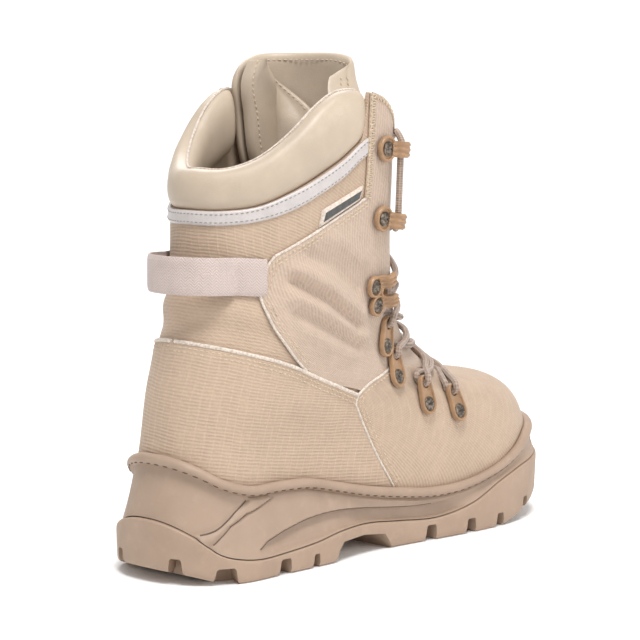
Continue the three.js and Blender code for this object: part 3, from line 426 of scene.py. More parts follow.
def ripstop(name, colour, turn=0.0, rib_pitch=1.75, cord_pitch=4.6):
    """Ribbed textile: fine ribs across, with painted shade in their valleys, and a slimmer, paler cord up
    it at wider steps.
    """
    thread_pitch = 0.62
    shader = Shader(name, colour, 0.86, sheen_weight=0.12, sheen_roughness=0.5)
    across, up = shader.flat()
    cos, sin = math.cos(turn), math.sin(turn)
    ribs_at = shader.plus(shader.times(across, sin), shader.times(up, cos))
    cords_at = shader.minus(shader.times(across, cos), shader.times(up, sin))
    drift = shader.span(shader.noise(22.0, 2.0), 0.3, 0.7, -0.5, 0.5)
    ribs_at = shader.plus(ribs_at, drift)
    cords_at = shader.plus(cords_at, shader.times(drift, 1.2))
    clearness = shader.span(shader.noise(7.0, 3.0), 0.3, 0.7, 0.35, 1.0)
    rib = shader.times(shader.span(shader.wave(ribs_at, rib_pitch), -1.0, 1.0), clearness)
    fine = shader.wave(cords_at, thread_pitch)
    cord = shader.span(shader.wave(cords_at, cord_pitch), 0.70, 0.98)
    worn = shader.span(shader.noise(28.0, 4.0), 0.35, 0.7)
    fleck = shader.span(shader.noise(1.1, 2.0), 0.35, 0.65)
    dark = shade(colour, 0.80)
    pale = shade(colour, 1.05, 6)
    # The rib valleys are darkened: painted shade in the grooves between the ribs. The flecks are random
    # tone.
    groove = shader.times(shader.minus(clearness, rib), 0.62)
    shader.tint([
        (groove, dark),
        (shader.times(cord, 0.20), pale),
        (shader.times(worn, 0.22), pale),
        (shader.times(fleck, 0.22), dark),
    ])
    height = shader.plus(rib, shader.times(cord, 0.40))
    height = shader.plus(height, shader.times(fine, 0.10))
    shader.bump([(shader.noise(9.0, 2.0), 0.35), (height, 0.15)])
    return shader.material


def leather(name, colour, roughness=0.42, grain=1.3):
    shader = Shader(name, colour, roughness, coat_weight=0.10, coat_roughness=0.35)
    cell = shader.span(shader.cells(grain), 0.0, 0.30)
    broad = shader.noise(30.0, 3.0)
    fine = shader.noise(0.8, 2.0)
    shader.tint([
        (shader.span(broad, 0.35, 0.75, 0.0, 0.45), shade(colour, 0.86)),
        (shader.span(shader.noise(14.0, 4.0), 0.5, 0.75, 0.0, 0.4), shade(colour, 1.04, 4)),
    ])
    shader.rough(shader.span(broad, 0.3, 0.7, roughness - 0.05, roughness + 0.10))
    shader.bump([(broad, 0.5), (cell, 0.035), (fine, 0.03)])
    return shader.material


def rubber(name, colour, roughness=0.55):
    shader = Shader(name, colour, roughness)
    broad = shader.noise(26.0, 4.0)
    shader.tint([
        (shader.span(broad, 0.4, 0.75, 0.0, 0.5), shade(colour, 0.88)),
        (shader.span(shader.noise(7.0, 5.0), 0.55, 0.8, 0.0, 0.5), shade(colour, 1.05, 5)),
    ])
    shader.rough(shader.span(broad, 0.3, 0.7, roughness - 0.07, roughness + 0.10))
    shader.bump([(broad, 0.25), (shader.noise(0.5, 3.0), 0.035)])
    return shader.material


def thread(name, colour, pitch=1.0):
    """Twisted thread, yarn and raw edges."""
    shader = Shader(name, colour, 0.8, sheen_weight=0.2)
    fibre = shader.noise(pitch, 3.0)
    shader.tint([(shader.span(fibre, 0.35, 0.7, 0.0, 0.8), shade(colour, 0.74))])
    shader.bump([(fibre, 0.35)])
    return shader.material


def braid(name, colour, pitch=2.6):
    """A round lace: two sets of strands that wind round it and cross, with painted shade in the low parts
    between them.
    """
    strands = 3
    shader = Shader(name, colour, 0.78, sheen_weight=0.2)
    around, length = shader.flat()
    turn = shader.times(around, 2 * math.pi * strands)
    run = shader.times(length, 2 * math.pi / pitch)
    left = shader.math("SINE", shader.plus(run, turn))
    right = shader.math("SINE", shader.minus(run, turn))
    plait = shader.span(shader.times(left, right), -0.9, 0.7)
    # The low parts between the strands are darkened: painted shade. The paler cloud is random tone.
    shader.tint([
        (shader.times(shader.minus(1.0, plait), 0.75), shade(colour, 0.62)),
        (shader.span(shader.noise(3.0), 0.5, 0.7, 0.0, 0.5), shade(colour, 1.08, 8)),
    ])
    shader.bump([(plait, 0.30), (shader.noise(0.5), 0.10)])
    return shader.material


def webbing(name, colour, pitch=1.5):
    """Flat webbing: a herringbone of fine diagonal ribs, with painted shade in the valleys between them."""
    row_width = 2.2
    shader = Shader(name, colour, 0.82, sheen_weight=0.2)
    across, up = shader.flat()
    diagonal = shader.plus(up, shader.math("PINGPONG", across, row_width))
    rib = shader.span(shader.wave(diagonal, pitch), -1.0, 1.0)
    dark = shade(colour, 0.86)
    # The valleys between the ribs are darkened: painted shade. The cloudy darkening is random tone.
    shader.tint([
        (shader.times(shader.minus(1.0, rib), 0.55), dark),
        (shader.span(shader.noise(12.0), 0.45, 0.75, 0.0, 0.4), dark),
    ])
    shader.bump([(rib, 0.14), (shader.noise(0.6), 0.08)])
    return shader.material


def moulded(name, colour, roughness=0.42):
    shader = Shader(name, colour, roughness, coat_weight=0.08, coat_roughness=0.3)
    cloud = shader.noise(5.0, 4.0)
    shader.tint([(shader.span(cloud, 0.4, 0.75, 0.0, 0.6), shade(colour, 0.80))])
    shader.bump([(cloud, 0.12), (shader.noise(0.4), 0.03)])
    return shader.material


def antique_metal(name, colour):
    shader = Shader(name, colour, 0.38, metallic=0.85)
    cloud = shader.noise(1.8, 4.0)
    shader.tint([(shader.span(cloud, 0.45, 0.7, 0.0, 0.7), shade(colour, 1.9, 20))])
    shader.rough(shader.span(cloud, 0.3, 0.7, 0.28, 0.55))
    shader.bump([(cloud, 0.12)])
    return shader.material


def tape(name, colour):
    """Reflective tape: a close field of tiny glass beads, with painted shade in the gaps between them."""
    shader = Shader(name, colour, 0.36, coat_weight=0.25, coat_roughness=0.25)
    bead = shader.cells(0.55)
    dark = shade(colour, 0.88)
    # The gaps between the beads are darkened: painted shade. The cloudy darkening is random tone.
    shader.tint([
        (shader.span(bead, 0.0, 0.25, 0.6, 0.0), dark),
        (shader.span(shader.noise(9.0), 0.45, 0.7, 0.0, 0.5), dark),
    ])
    shader.bump([(shader.noise(8.0), 0.3), (bead, 0.06)])
    return shader.material


SAND = (188, 164, 142)
LEATHER = (188, 171, 151)
RUBBER = (164, 141, 122)

looks = {
    "shaft": ripstop("ripstop_shaft", SAND),
    "vamp": ripstop("ripstop_vamp", SAND, turn=0.85),
    "counter": ripstop("ripstop_counter", SAND, turn=0.06),
    "ankle": ripstop("ripstop_ankle", (191, 169, 151), turn=math.pi / 2 + 0.05, rib_pitch=1.9),
    "leather": leather("leather_satin", LEATHER),
    "lining": leather("leather_lining", (188, 170, 150), 0.55, 1.6),
    "rubber": rubber("rubber_cup", RUBBER),
    "tread": rubber("rubber_tread", (167, 143, 123), 0.6),
    "cream": thread("raw_edge", (222, 208, 194), 1.2),
    "stitch": thread("sand_thread", (214, 192, 166), 0.5),
    "grey_stitch": thread("grey_thread", (150, 144, 136), 0.5),
    "dark_stitch": thread("recessed_thread", (98, 76, 58), 0.5),
    # Painted shadow: the dark colour of the thin lines in the cup's grooves.
    "groove": thread("groove_shadow", (112, 90, 74), 0.5),
    "web": webbing("webbing_cream", (198, 181, 174)),
    "tape": tape("reflective_tape", (201, 193, 190)),
    "label": webbing("label_weave", (78, 77, 75), 0.7),
    "lace": braid("lace_braid", (175, 153, 137)),
    "nylon": moulded("moulded_nylon", (164, 129, 96)),
    "metal": antique_metal("antique_metal", (84, 76, 68)),
    "insole": thread("insole_felt", (112, 101, 88), 1.0),
}


# Meshes

def make(name, part, material, sharp=35, replaces=()):
    """A smooth mesh that rides on the boot, from points, faces and a length map or None."""
    points, faces, flat = part
    mesh = bpy.data.meshes.new(name)
    mesh.from_pydata((np.asarray(points, float) * MM).tolist(), [], faces)
    mesh.validate()
    if flat is not None:
        layer = mesh.uv_layers.new(name="flat")
        corner = np.empty(len(mesh.loops), dtype=np.int32)
        mesh.loops.foreach_get("vertex_index", corner)
        layer.data.foreach_set("uv", np.asarray(flat, float)[corner].ravel())
    for one in material if isinstance(material, (list, tuple)) else [material]:
        mesh.materials.append(looks[one])
    mesh.polygons.foreach_set("use_smooth", [True] * len(mesh.polygons))
    mesh.set_sharp_from_angle(angle=math.radians(sharp))
    mesh.update()
    piece = bpy.data.objects.new(name, mesh)
    bpy.context.scene.collection.objects.link(piece)
    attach(piece, "root")
    if replaces:
        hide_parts(*replaces)
    return piece


def unmapped(points, faces):
    """Points and faces with an empty length map."""
    return np.asarray(points), faces, np.zeros((len(points), 2))


def spread(columns, rows, low=0):
    """Shares across and up a grid of points. The first run from low to 1."""
    across = np.linspace(low, 1, columns)[:, None] * np.ones((1, rows))
    up = np.linspace(0, 1, rows)[None, :] * np.ones((columns, 1))
    return across, up


def hoops(rings_of, corners, turned=False, closed=False, capped=False):
    """Faces between closed rings of points. The ends may be capped or joined to each other."""
    faces = []
    for k in range(rings_of if closed else rings_of - 1):
        near, far = k * corners, (k + 1) % rings_of * corners
        for s in range(corners):
            n = (s + 1) % corners
            ring = [near + s, near + n, far + n, far + s]
            faces.append([ring[0]] + ring[:0:-1] if turned else ring)
    if capped:
        first = list(range(corners))
        last = [(rings_of - 1) * corners + s for s in range(corners)]
        faces += [first, last[::-1]] if turned else [first[::-1], last]
    return faces


def ribbon(columns, rows, turned=False):
    """Faces of a grid whose last column joins its first. Point i, j is i * rows + j."""
    faces = []
    for i in range(columns):
        a, b = i * rows, (i + 1) % columns * rows
        for j in range(rows - 1):
            ring = [a + j, a + j + 1, b + j + 1, b + j]
            faces.append([ring[0]] + ring[:0:-1] if turned else ring)
    return faces


def lid(columns, rows, row, turned):
    """Strips across one row of such a grid, which close it."""
    faces = []
    for i in range(columns // 2):
        corners = (i, i + 1, (columns - i - 1) % columns, (columns - i) % columns)
        strip = list(dict.fromkeys(k * rows + row for k in corners))
        if len(strip) > 2:
            faces.append(strip[::-1] if turned else strip)
    return faces


def grid(columns, rows, start=0, turned=False):
    """Faces of a grid whose point i, j is start + i * rows + j."""
    i, j = np.meshgrid(np.arange(columns - 1), np.arange(rows - 1), indexing="ij")
    a = (start + i * rows + j).ravel()
    quads = np.stack([a, a + rows, a + rows + 1, a + 1], axis=1)
    if turned:
        quads = quads[:, ::-1]
    return quads.tolist()


def border(columns, rows):
    """The grid's outline as point numbers, in the faces' own direction."""
    foot = [i * rows for i in range(columns)]
    far = [(columns - 1) * rows + j for j in range(1, rows)]
    head = [i * rows + rows - 1 for i in range(columns - 2, -1, -1)]
    near = list(range(rows - 2, 0, -1))
    return foot + far + head + near


def thin_solid(name, outer, inner, flat, material, replaces=(), sharp=35):
    """A sheet with real thickness: two grids of points and the walls between their outlines."""
    columns, rows = outer.shape[:2]
    count = columns * rows
    points = np.concatenate([outer.reshape(-1, 3), inner.reshape(-1, 3)])
    faces = grid(columns, rows) + grid(columns, rows, count, turned=True)
    line = border(columns, rows)
    for a, b in zip(line, line[1:] + line[:1]):
        faces.append([b, a, a + count, b + count])
    both = np.concatenate([flat.reshape(-1, 2)] * 2)
    return make(name, (points, faces, both), material, sharp, replaces)


def frames_along(path):
    """Two directions across a path that don't twist along it."""
    tangent = unit(np.gradient(path, axis=0))
    first = np.zeros_like(path)
    first[0] = unit(np.cross(tangent[0], [0.3, 0.5, 0.8]))
    for k in range(1, len(path)):
        first[k] = unit(first[k - 1] - tangent[k] * np.dot(first[k - 1], tangent[k]))
    return first, np.cross(tangent, first)


def spline(points, step):
    """A smooth path through points, with even steps."""
    p = np.asarray(points, float)
    p = np.concatenate([[2 * p[0] - p[1]], p, [2 * p[-1] - p[-2]]])
    dense = []
    for k in range(1, len(p) - 2):
        f = np.linspace(0, 1, 24, endpoint=False)[:, None]
        a, b, c, d = p[k - 1], p[k], p[k + 1], p[k + 2]
        dense.append(0.5 * (2 * b + (c - a) * f + (2 * a - 5 * b + 4 * c - d) * f ** 2
                            + (3 * b - a - 3 * c + d) * f ** 3))
    dense.append(p[-2:-1])
    return even(np.concatenate(dense), step)


def even(path, step):
    """The same path with points at even distances."""
    distance = run_of(path)
    want = np.linspace(0, distance[-1], max(int(distance[-1] / step), 2) + 1)
    return np.stack([np.interp(want, distance, path[:, k]) for k in range(3)], axis=1)


def tube_parts(path, radius, sides):
    """Points, faces and a length map of a capped tube. radius may be one number or one a point."""
    count = len(path)
    radius = np.broadcast_to(np.asarray(radius, float), (count,))
    first, second = frames_along(path)
    angle = np.linspace(0, 2 * np.pi, sides, endpoint=False)
    ring = np.cos(angle)[None, :, None] * first[:, None]
    ring = ring + np.sin(angle)[None, :, None] * second[:, None]
    points = path[:, None] + ring * radius[:, None, None]
    flat = np.stack(np.broadcast_arrays(angle[None, :] / (2 * np.pi), run_of(path)[:, None]), axis=-1)
    return points.reshape(-1, 3), hoops(count, sides, capped=True), flat.reshape(-1, 2)


def join(parts):
    """Several (points, faces, map) as one."""
    points, faces, flats, start = [], [], [], 0
    for part_points, part_faces, part_flat in parts:
        points.append(part_points)
        flats.append(part_flat)
        faces += [[start + k for k in face] for face in part_faces]
        start += len(part_points)
    return np.concatenate(points), faces, np.concatenate(flats)


def tube(name, path, radius, material, sides=8, replaces=()):
    return make(name, tube_parts(path, radius, sides), material, 60, replaces)


def stitch_parts(path, normal, pitch, length, width, rise):
    """One row of stitches: each a low, rounded bar along the path."""
    sizes = [(-0.5, 0.0), (-0.36, 0.75), (0.0, 1.0), (0.36, 0.75), (0.5, 0.0)]
    corners = 5
    angles = [np.pi * c / (corners - 1) for c in range(corners)]
    steps = even(path, pitch)
    tangent = unit(np.gradient(steps, axis=0))
    middle = (steps[1:] + steps[:-1]) / 2
    nearest = np.argmin(np.linalg.norm(middle[:, None] - path[None, :], axis=2), axis=1)
    faces = hoops(len(sizes), corners, turned=True, capped=True)
    parts = []
    for k, spot in enumerate(middle):
        up = normal[nearest[k]]
        side = np.cross(up, tangent[k])
        points = []
        for share, full in sizes:
            centre = spot + tangent[k] * share * length - up * (1 - full) * rise * 0.6
            out = side * width * 0.5 * max(full, 0.35)
            points += [centre + out * math.cos(a) + up * math.sin(a) * rise * full for a in angles]
        parts.append(unmapped(points, faces))
    return parts


def stitches(name, rows, material="stitch", pitch=3.0, length=2.3, width=0.8,
             rise=0.45):
    """Rows of stitches given as (path, normals), as one piece."""
    parts = []
    for path, normal in rows:
        parts += stitch_parts(path, normal, pitch, length, width, rise)
    return make(name, join(parts), material, 60)


def seam_row(t, q, lift, steps=240):
    """A path on the face through knots of t and q, with its normals."""
    knots = np.linspace(0, 1, len(t))
    run = np.linspace(0, 1, steps)
    ts, qs = np.interp(run, knots, t), np.interp(run, knots, q)
    return place(ts, qs, lift), out_of(ts, qs)


def shifted(path, normal, distance):
    """The path moved sideways on the face, to its left as seen from outside."""
    return path + np.cross(normal, unit(np.gradient(path, axis=0))) * distance


# The upper's wall, with the throat open

WELD = 0.02
THROAT_TOP = 9.3


def wall_top(side, around):
    """The wall's top edge: under the eyestay's edge at the front and under the pad behind it."""
    start = PAD_START[side]
    ramp = np.clip((around - start + 0.005) / 0.025, 0, 1)
    front = np.minimum(stay_top(around) - 0.4, collar_height(around, "top") - 1.4)
    return front * (1 - ramp) + collar_height(around, "pad_foot") * ramp


def make_upper():
    """The wall with its lining, as one mesh of two materials."""
    columns, rows = 110, 120
    gap_top = throat_half(THROAT_TOP) / half_length(THROAT_TOP)
    shares = np.linspace(0, 1, columns)
    halves = []
    for side in (-1, 1):
        around_top = gap_top + (1 - gap_top) * shares
        top = ring_at(side * around_top, wall_top(side, around_top))
        t = top[:, None] * np.linspace(0, 1, rows)[None, :]
        gap = throat_half(t) / half_length(t)
        q = side * (gap + (1 - gap) * shares[:, None])
        halves.append((t, q))
    t = np.concatenate([halves[0][0][::-1], halves[1][0]])
    q = np.concatenate([halves[0][1][::-1], halves[1][1]])
    count = 2 * columns * rows
    points = np.concatenate([place(t, q, 0.0).reshape(-1, 3), place(t, q, -WALL).reshape(-1, 3)])
    faces = []
    for start, turned in ((0, False), (count, True)):
        for face in grid(2 * columns, rows, start, turned):
            if (min(face) - start) // rows != columns - 1:
                faces.append(face)
    inside_from, inside_to = len(faces) // 2, len(faces)

    def wall(a, b):
        faces.append([b, a, a + count, b + count])
    for i in range(2 * columns - 1):
        if i != columns - 1:
            wall(i * rows, (i + 1) * rows)
            wall((i + 1) * rows + rows - 1, i * rows + rows - 1)
    for j in range(rows - 1):
        left = (columns - 1) * rows + j
        right = columns * rows + j
        if np.linalg.norm(points[left + 1] - points[right + 1]) > WELD:
            wall(left, left + 1)
            wall(right + 1, right)
    flat = np.concatenate([flat_map(t, q).reshape(-1, 2)] * 2)
    piece = make("upper_wall", (points, faces, flat), ["shaft", "lining"], 50, ["upper"])
    slots = np.zeros(len(piece.data.polygons), dtype=np.int32)
    slots[inside_from:inside_to] = 1
    piece.data.polygons.foreach_set("material_index", slots)
    weld(piece)
    return piece


def weld(piece, distance=WELD):
    import bmesh
    body = bmesh.new()
    body.from_mesh(piece.data)
    bmesh.ops.remove_doubles(body, verts=body.verts, dist=distance * MM)
    body.to_mesh(piece.data)
    body.free()
    piece.data.update()


# Panels sewn over the wall

PANEL_FOOT = 0.25
FOOT_TUCK = 2.5
VAMP_CLOTH = 2.0
COUNTER_CLOTH = 1.6
SIDE_CLOTH = 1.5
TAPE_TOP = 1.3


def edge_share(distance):
    """0 at a panel's edge and 1 once away from it."""
    roll = 2.0
    return np.sqrt(1 - (1 - np.clip(distance / roll, 0, 1)) ** 2)


def panel(name, t, q, top, material, replaces, soft=(True, True, True, True), from_back=False):
    """A sheet on the face from grids of t and q. soft says which edges roll off:
    the first column, the last column, the first row and the last row."""
    middle = at(t, q)
    across = run_of(middle)
    up = run_of(middle.swapaxes(0, 1)).T
    shape = np.ones(t.shape)
    for wanted, distance in zip(soft, (across, across[-1:] - across, up, up[:, -1:] - up)):
        if wanted:
            shape = np.minimum(shape, edge_share(distance))
    lift = PANEL_FOOT + (top - PANEL_FOOT) * (0.45 + 0.55 * shape)
    outer, inner = place(t, q, lift), place(t, q, PANEL_FOOT - 0.2)
    return thin_solid(name, outer, inner, flat_map(t, q, from_back), material, replaces, 60)


def side_panel(name, side, t, q, soft_front, replaced):
    """An ankle or eyestay sheet, given from front to rear, with its front or its rear rolled off."""
    if side < 0:
        t, q = t[::-1], q[::-1]
    first_column_soft = soft_front == (side > 0)
    soft = (first_column_soft, not first_column_soft, False, True)
    return panel(name, t, q, SIDE_CLOTH, "ankle", [replaced], soft)


def bead_top(q):
    return FEATHER_HEIGHT * along(sole_side, "along", "bead", share_of(at(1.0, q)[..., 0]))


def share_of(x):
    return (x + HEEL_SET_BACK) / SOLE_LENGTH


vamp_rear = {"ring": [0.3, 0.68, 1.78, 2.88, 3.25], "around": [0.52, 0.535, 0.585, 0.600, 0.580]}
vamp_top = {"around": [0.0, 0.2, 0.30, 0.362, 0.43, 0.497, 0.545, 0.58],
            "ring": [4.0, 4.3, 4.5, 4.45, 4.15, 3.83, 3.52, 3.25]}
counter_top = {"around": [0.58, 0.62, 0.718, 0.855, 0.965, 1.0], "ring": [3.25, 3.7, 4.28, 4.6, 4.72, 4.72]}
ankle_rear = {"ring": [3.5, 4.17, 4.93, 5.8, 6.38, 6.68, 6.95, 7.15, 7.33],
              "around": [0.60, 0.68, 0.725, 0.765, 0.782, 0.778, 0.768, 0.757, 0.74]}
ankle_top = {"around": [0.395, 0.5, 0.593, 0.67, 0.74], "ring": [8.5, 8.2, 7.9, 7.62, 7.33]}
VAMP_REAR = 0.58
ANKLE_REAR_TOP = 0.74
STAY_FRONT = 0.14
STAY_REAR = 0.395
PAD_START = {-1: 0.408, 1: 0.47}


def make_vamp():
    foot_reach = 0.55
    u, v = spread(220, 70, -1)
    w = np.abs(u)
    side = np.where(u < 0, -1.0, 1.0)
    foot_at = side * w * foot_reach
    foot = ring_at(foot_at, bead_top(foot_at) - FOOT_TUCK)
    t = foot + (along(vamp_top, "around", "ring", w * VAMP_REAR) - foot) * v
    q = side * w * along(vamp_rear, "ring", "around", t)
    return panel("vamp_cloth", t, q, VAMP_CLOTH, "vamp", ["vamp_panel"])


def make_counter():
    foot_reach, under_vamp = 0.43, 0.004
    u, v = spread(150, 46, -1)
    w = np.abs(u)
    side = np.where(u < 0, 1.0, -1.0)
    foot_at = side * (1 - w * foot_reach)
    foot = ring_at(foot_at, bead_top(foot_at) - FOOT_TUCK)
    t = foot + (along(counter_top, "around", "ring", 1 - w * (1 - VAMP_REAR)) - foot) * v
    front = along(vamp_rear, "ring", "around", t) - under_vamp
    q = side * (1 - w * (1 - front))
    return panel("counter_cloth", t, q, COUNTER_CLOTH, "counter", ["counter_panel"],
                 from_back=True)


def make_ankle(side, word):
    foot_rear, under_vamp = 0.655, 0.12
    u, v = spread(60, 80)
    around_low = STAY_REAR + (foot_rear - STAY_REAR) * u
    over_vamp = along(vamp_top, "around", "ring", around_low)
    over_counter = along(counter_top, "around", "ring", around_low)
    low = np.where(around_low < VAMP_REAR, over_vamp, over_counter) - under_vamp
    high = along(ankle_top, "around", "ring", STAY_REAR + (ANKLE_REAR_TOP - STAY_REAR) * u)
    t = low + (high - low) * v
    rear = along(ankle_rear, "ring", "around", t)
    q = side * (STAY_REAR + (rear - STAY_REAR) * u)
    return side_panel(f"ankle_cloth_{word}", side, t, q, False, f"ankle_panel_{word}")


def stay_top(around):
    """The eyestay's top edge falls a little towards the throat, where its corner is cut off."""
    corner_drop, corner_from, corner_width = 28.0, 0.135, 0.225
    slope_drop, slope_from = 2.5, 0.22
    away = np.abs(around)
    corner = corner_drop * (1 - np.clip((away - corner_from) / corner_width, 0, 1)) ** 1.6
    slope = slope_drop * np.clip((STAY_REAR - away) / (STAY_REAR - slope_from), 0, 1)
    return collar_height(around, "top") - 1.0 - corner - slope


def make_eyestay(side, word):
    under_vamp, over_throat = 0.1, 1.5
    u, v = spread(44, 150)
    around = STAY_FRONT + (STAY_REAR - STAY_FRONT) * u
    low = along(vamp_top, "around", "ring", around) - under_vamp
    t = low + (ring_at(side * around, stay_top(around)) - low) * v
    front = (throat_half(t) - over_throat) / half_length(t)
    q = side * (front + (STAY_REAR - front) * u)
    return side_panel(f"eyestay_cloth_{word}", side, t, q, True, f"eyestay_{word}")


def make_band():
    front = 0.402
    w, v = spread(240, 12, -1)
    around = 1 - np.abs(w) * (1 - front)
    side = np.where(w < 0, 1.0, -1.0)
    low = collar_height(around, "band_foot") + 0.5
    high = collar_height(around, "pad_foot") - 0.3
    q = side * around
    t = ring_at(q, low + (high - low) * v)
    return panel("band_tape", t, q, TAPE_TOP, "tape", ["reflective_band"], from_back=True)


def make_label():
    """The tab: a pale border and, inside it, the plain weave."""
    u, v = spread(40, 10)
    front, rear = 0.43, 0.59
    for name, top, material, slot, replaced, long_share, inset in (
            ("label_rim", 2.0, "cream", "fabric", (), 1.0, 0.0),
            ("label_weave", 2.5, "label", "label", ["label_tab"], 0.93, 0.17)):
        across = (u - 0.5) * long_share + 0.5
        around = rear - (rear - front) * across - 0.010 * v
        base = along(ankle_top, "around", "ring", around)
        width = 0.30 - 0.08 * across
        t = base + 0.05 + width * (inset + (1 - 2 * inset) * v)
        panel(name, t, -around, top, material, replaced)


# Seams: raw edges, piping and stitches

def raw_edge(name, t, q, lift, radius=0.75):
    path = even(seam_row(t, q, lift)[0], 0.9)
    step = np.arange(len(path))
    wave = 1 + 0.06 * np.sin(step * 1.3) + 0.04 * np.sin(step * 0.47)
    return tube(name, path, radius * wave, "cream", 7)


def make_seams():
    sewn = []

    def sew(t, q, lift, *distances):
        path, normal = seam_row(t, q, lift)
        sewn.extend((shifted(path, normal, distance), normal) for distance in distances)

    for side, word in SIDES:
        t = np.linspace(0.72, 3.25, 30)
        q = side * along(vamp_rear, "ring", "around", t)
        raw_edge(f"vamp_seam_{word}", t, q, 1.5)
        sew(t, q, VAMP_CLOTH, side * 2.2, side * 4.4)
        around = np.linspace(VAMP_REAR, 0.345, 24)
        t = along(vamp_top, "around", "ring", around)
        raw_edge(f"vamp_top_seam_{word}", t, side * around, 1.5)
        sew(t, side * around, VAMP_CLOTH, side * 2.2)
        t = np.linspace(4.2, 7.33, 40)
        q = side * along(ankle_rear, "ring", "around", t)
        raw_edge(f"ankle_rear_seam_{word}", t, q, 1.0)
        sew(t, q, SIDE_CLOTH, side * 2.4, side * 4.2)
        around = np.linspace(ANKLE_REAR_TOP, 0.40, 30)
        t = along(ankle_top, "around", "ring", around)
        raw_edge(f"ankle_top_seam_{word}", t, side * around, 1.0)
        sew(t, side * around, SIDE_CLOTH, side * 2.4, side * 4.2)
        stay_end = float(ring_at(side * 0.16, stay_top(0.16)))
        t = np.linspace(4.9, stay_end - 0.12, 60)
        sew(t, side * (throat_half(t) + 1.6) / half_length(t), SIDE_CLOTH, 0.0, -side * 2.4)
        t = np.linspace(4.5, stay_end - 0.06, 60)
        raw_edge(f"throat_piping_{word}", t, side * (throat_half(t) - 1.2) / half_length(t), 1.0, 1.0)
    halves = (np.linspace(-VAMP_REAR, -1, 60), np.linspace(0.99, VAMP_REAR, 60))
    for number, q in enumerate(halves):
        t = along(counter_top, "around", "ring", np.abs(q))
        raw_edge(f"counter_seam_{number + 1}", t, q, 1.2, 1.1)
        sew(t, q, COUNTER_CLOTH, 2.6, 4.8)
    stitches("seam_stitches", sewn)
    band_rows = []
    for side in (-1, 1):
        q = side * np.linspace(0.405, 1.0, 120)
        for column, shift in (("band_foot", 2.0), ("pad_foot", -2.0)):
            t = ring_at(q, collar_height(q, column) + shift)
            band_rows.append((place(t, q, TAPE_TOP), out_of(t, q)))
    stitches("band_stitches", band_rows, "grey_stitch", 2.6, 1.9, 0.55, 0.3)
    make_overlock()


def make_overlock():
    """Zigzag thread over the joint of eyestay, pad and band, and over the eyestay's top edge."""
    zigzags, top_zigzags, yarn = 46, 36, 0.42
    for side, word in SIDES:
        low = float(along(ankle_top, "around", "ring", 0.40))
        high = float(ring_at(side * 0.40, collar_height(0.40, "top") - 2.0))
        t = np.linspace(low, high, zigzags)
        q = STAY_REAR + 0.011 * np.where(np.arange(zigzags) % 2 == 0, -1.0, 1.0)
        path = spline(place(t, side * q, 1.7), 0.8)
        tube(f"overlock_rear_{word}", path, yarn, "stitch", 5)
        path = even(place(np.linspace(low, high, 60), side * (STAY_REAR + 0.006), 1.0), 1.0)
        wave = 1 + 0.06 * np.sin(np.arange(len(path)) * 1.9)
        tube(f"overlock_core_{word}", path, 0.95 * wave, "stitch", 7)
        around = np.linspace(0.155, 0.39, top_zigzags)
        drop = np.where(np.arange(top_zigzags) % 2 == 0, 0.4, 3.0)
        t = ring_at(side * around, stay_top(around) - drop)
        path = spline(place(t, side * around, 1.75), 0.8)
        tube(f"overlock_top_{word}", path, yarn, "stitch", 5)


# Collar pad

def make_pad():
    """The collar's roll: rounded boxes round the shaft, with round closed ends and a piping."""
    stations, corners = 220, 40
    w = np.sin(np.linspace(-1, 1, stations) * np.pi / 2)
    side = np.where(w < 0, 1.0, -1.0)
    start = np.where(side < 0, PAD_START[-1], PAD_START[1])
    around = start + (1 - start) * (1 - np.abs(w))
    q = side * around
    low = ring_at(q, collar_height(around, "pad_foot") - 1.2)
    high = ring_at(q, collar_height(around, "top") - 1.5)
    foot, brow = at(low, q), at(high, q)
    normal = out_of((low + high) / 2, q)
    rise = (brow - foot) / 2
    middle = (foot + brow) / 2 - normal * PAD_SINK
    end = np.sqrt(1 - np.clip((np.abs(w) - 0.93) / 0.07, 0, 1) ** 2)
    angle = np.linspace(0, 2 * np.pi, corners, endpoint=False)
    cos, sin = np.cos(angle), np.sin(angle)
    fuller = 0.80
    x = np.sign(cos) * np.abs(cos) ** fuller
    z = np.sign(sin) * np.abs(sin) ** fuller
    pucker = 1 + 0.012 * np.sin(w * 21.0)[:, None] * np.abs(cos)[None, :]
    pucker += 0.008 * np.sin(w * 47.0 + 1.0)[:, None]
    depth = PAD_THICKNESS * 0.5 * x[None, :] * (0.25 + 0.75 * end)[:, None] * pucker
    height = z[None, :] * (0.86 + 0.14 * end)[:, None]
    points = middle[:, None] + normal[:, None] * depth[..., None] + rise[:, None] * height[..., None]
    part = unmapped(points.reshape(-1, 3), hoops(stations, corners, turned=True, capped=True))
    piece = make("collar_roll", part, "leather", 60, ["collar_pad"])
    kept = np.abs(w) < 0.985
    rim = 1.75
    out = math.copysign(abs(math.cos(rim)) ** fuller, math.cos(rim)) * PAD_THICKNESS * 0.5
    path = middle + normal * out + rise * math.sin(rim) ** fuller * 1.02
    tube("collar_piping", even(path[kept], 1.2), 0.75, "cream", 6)
    return piece


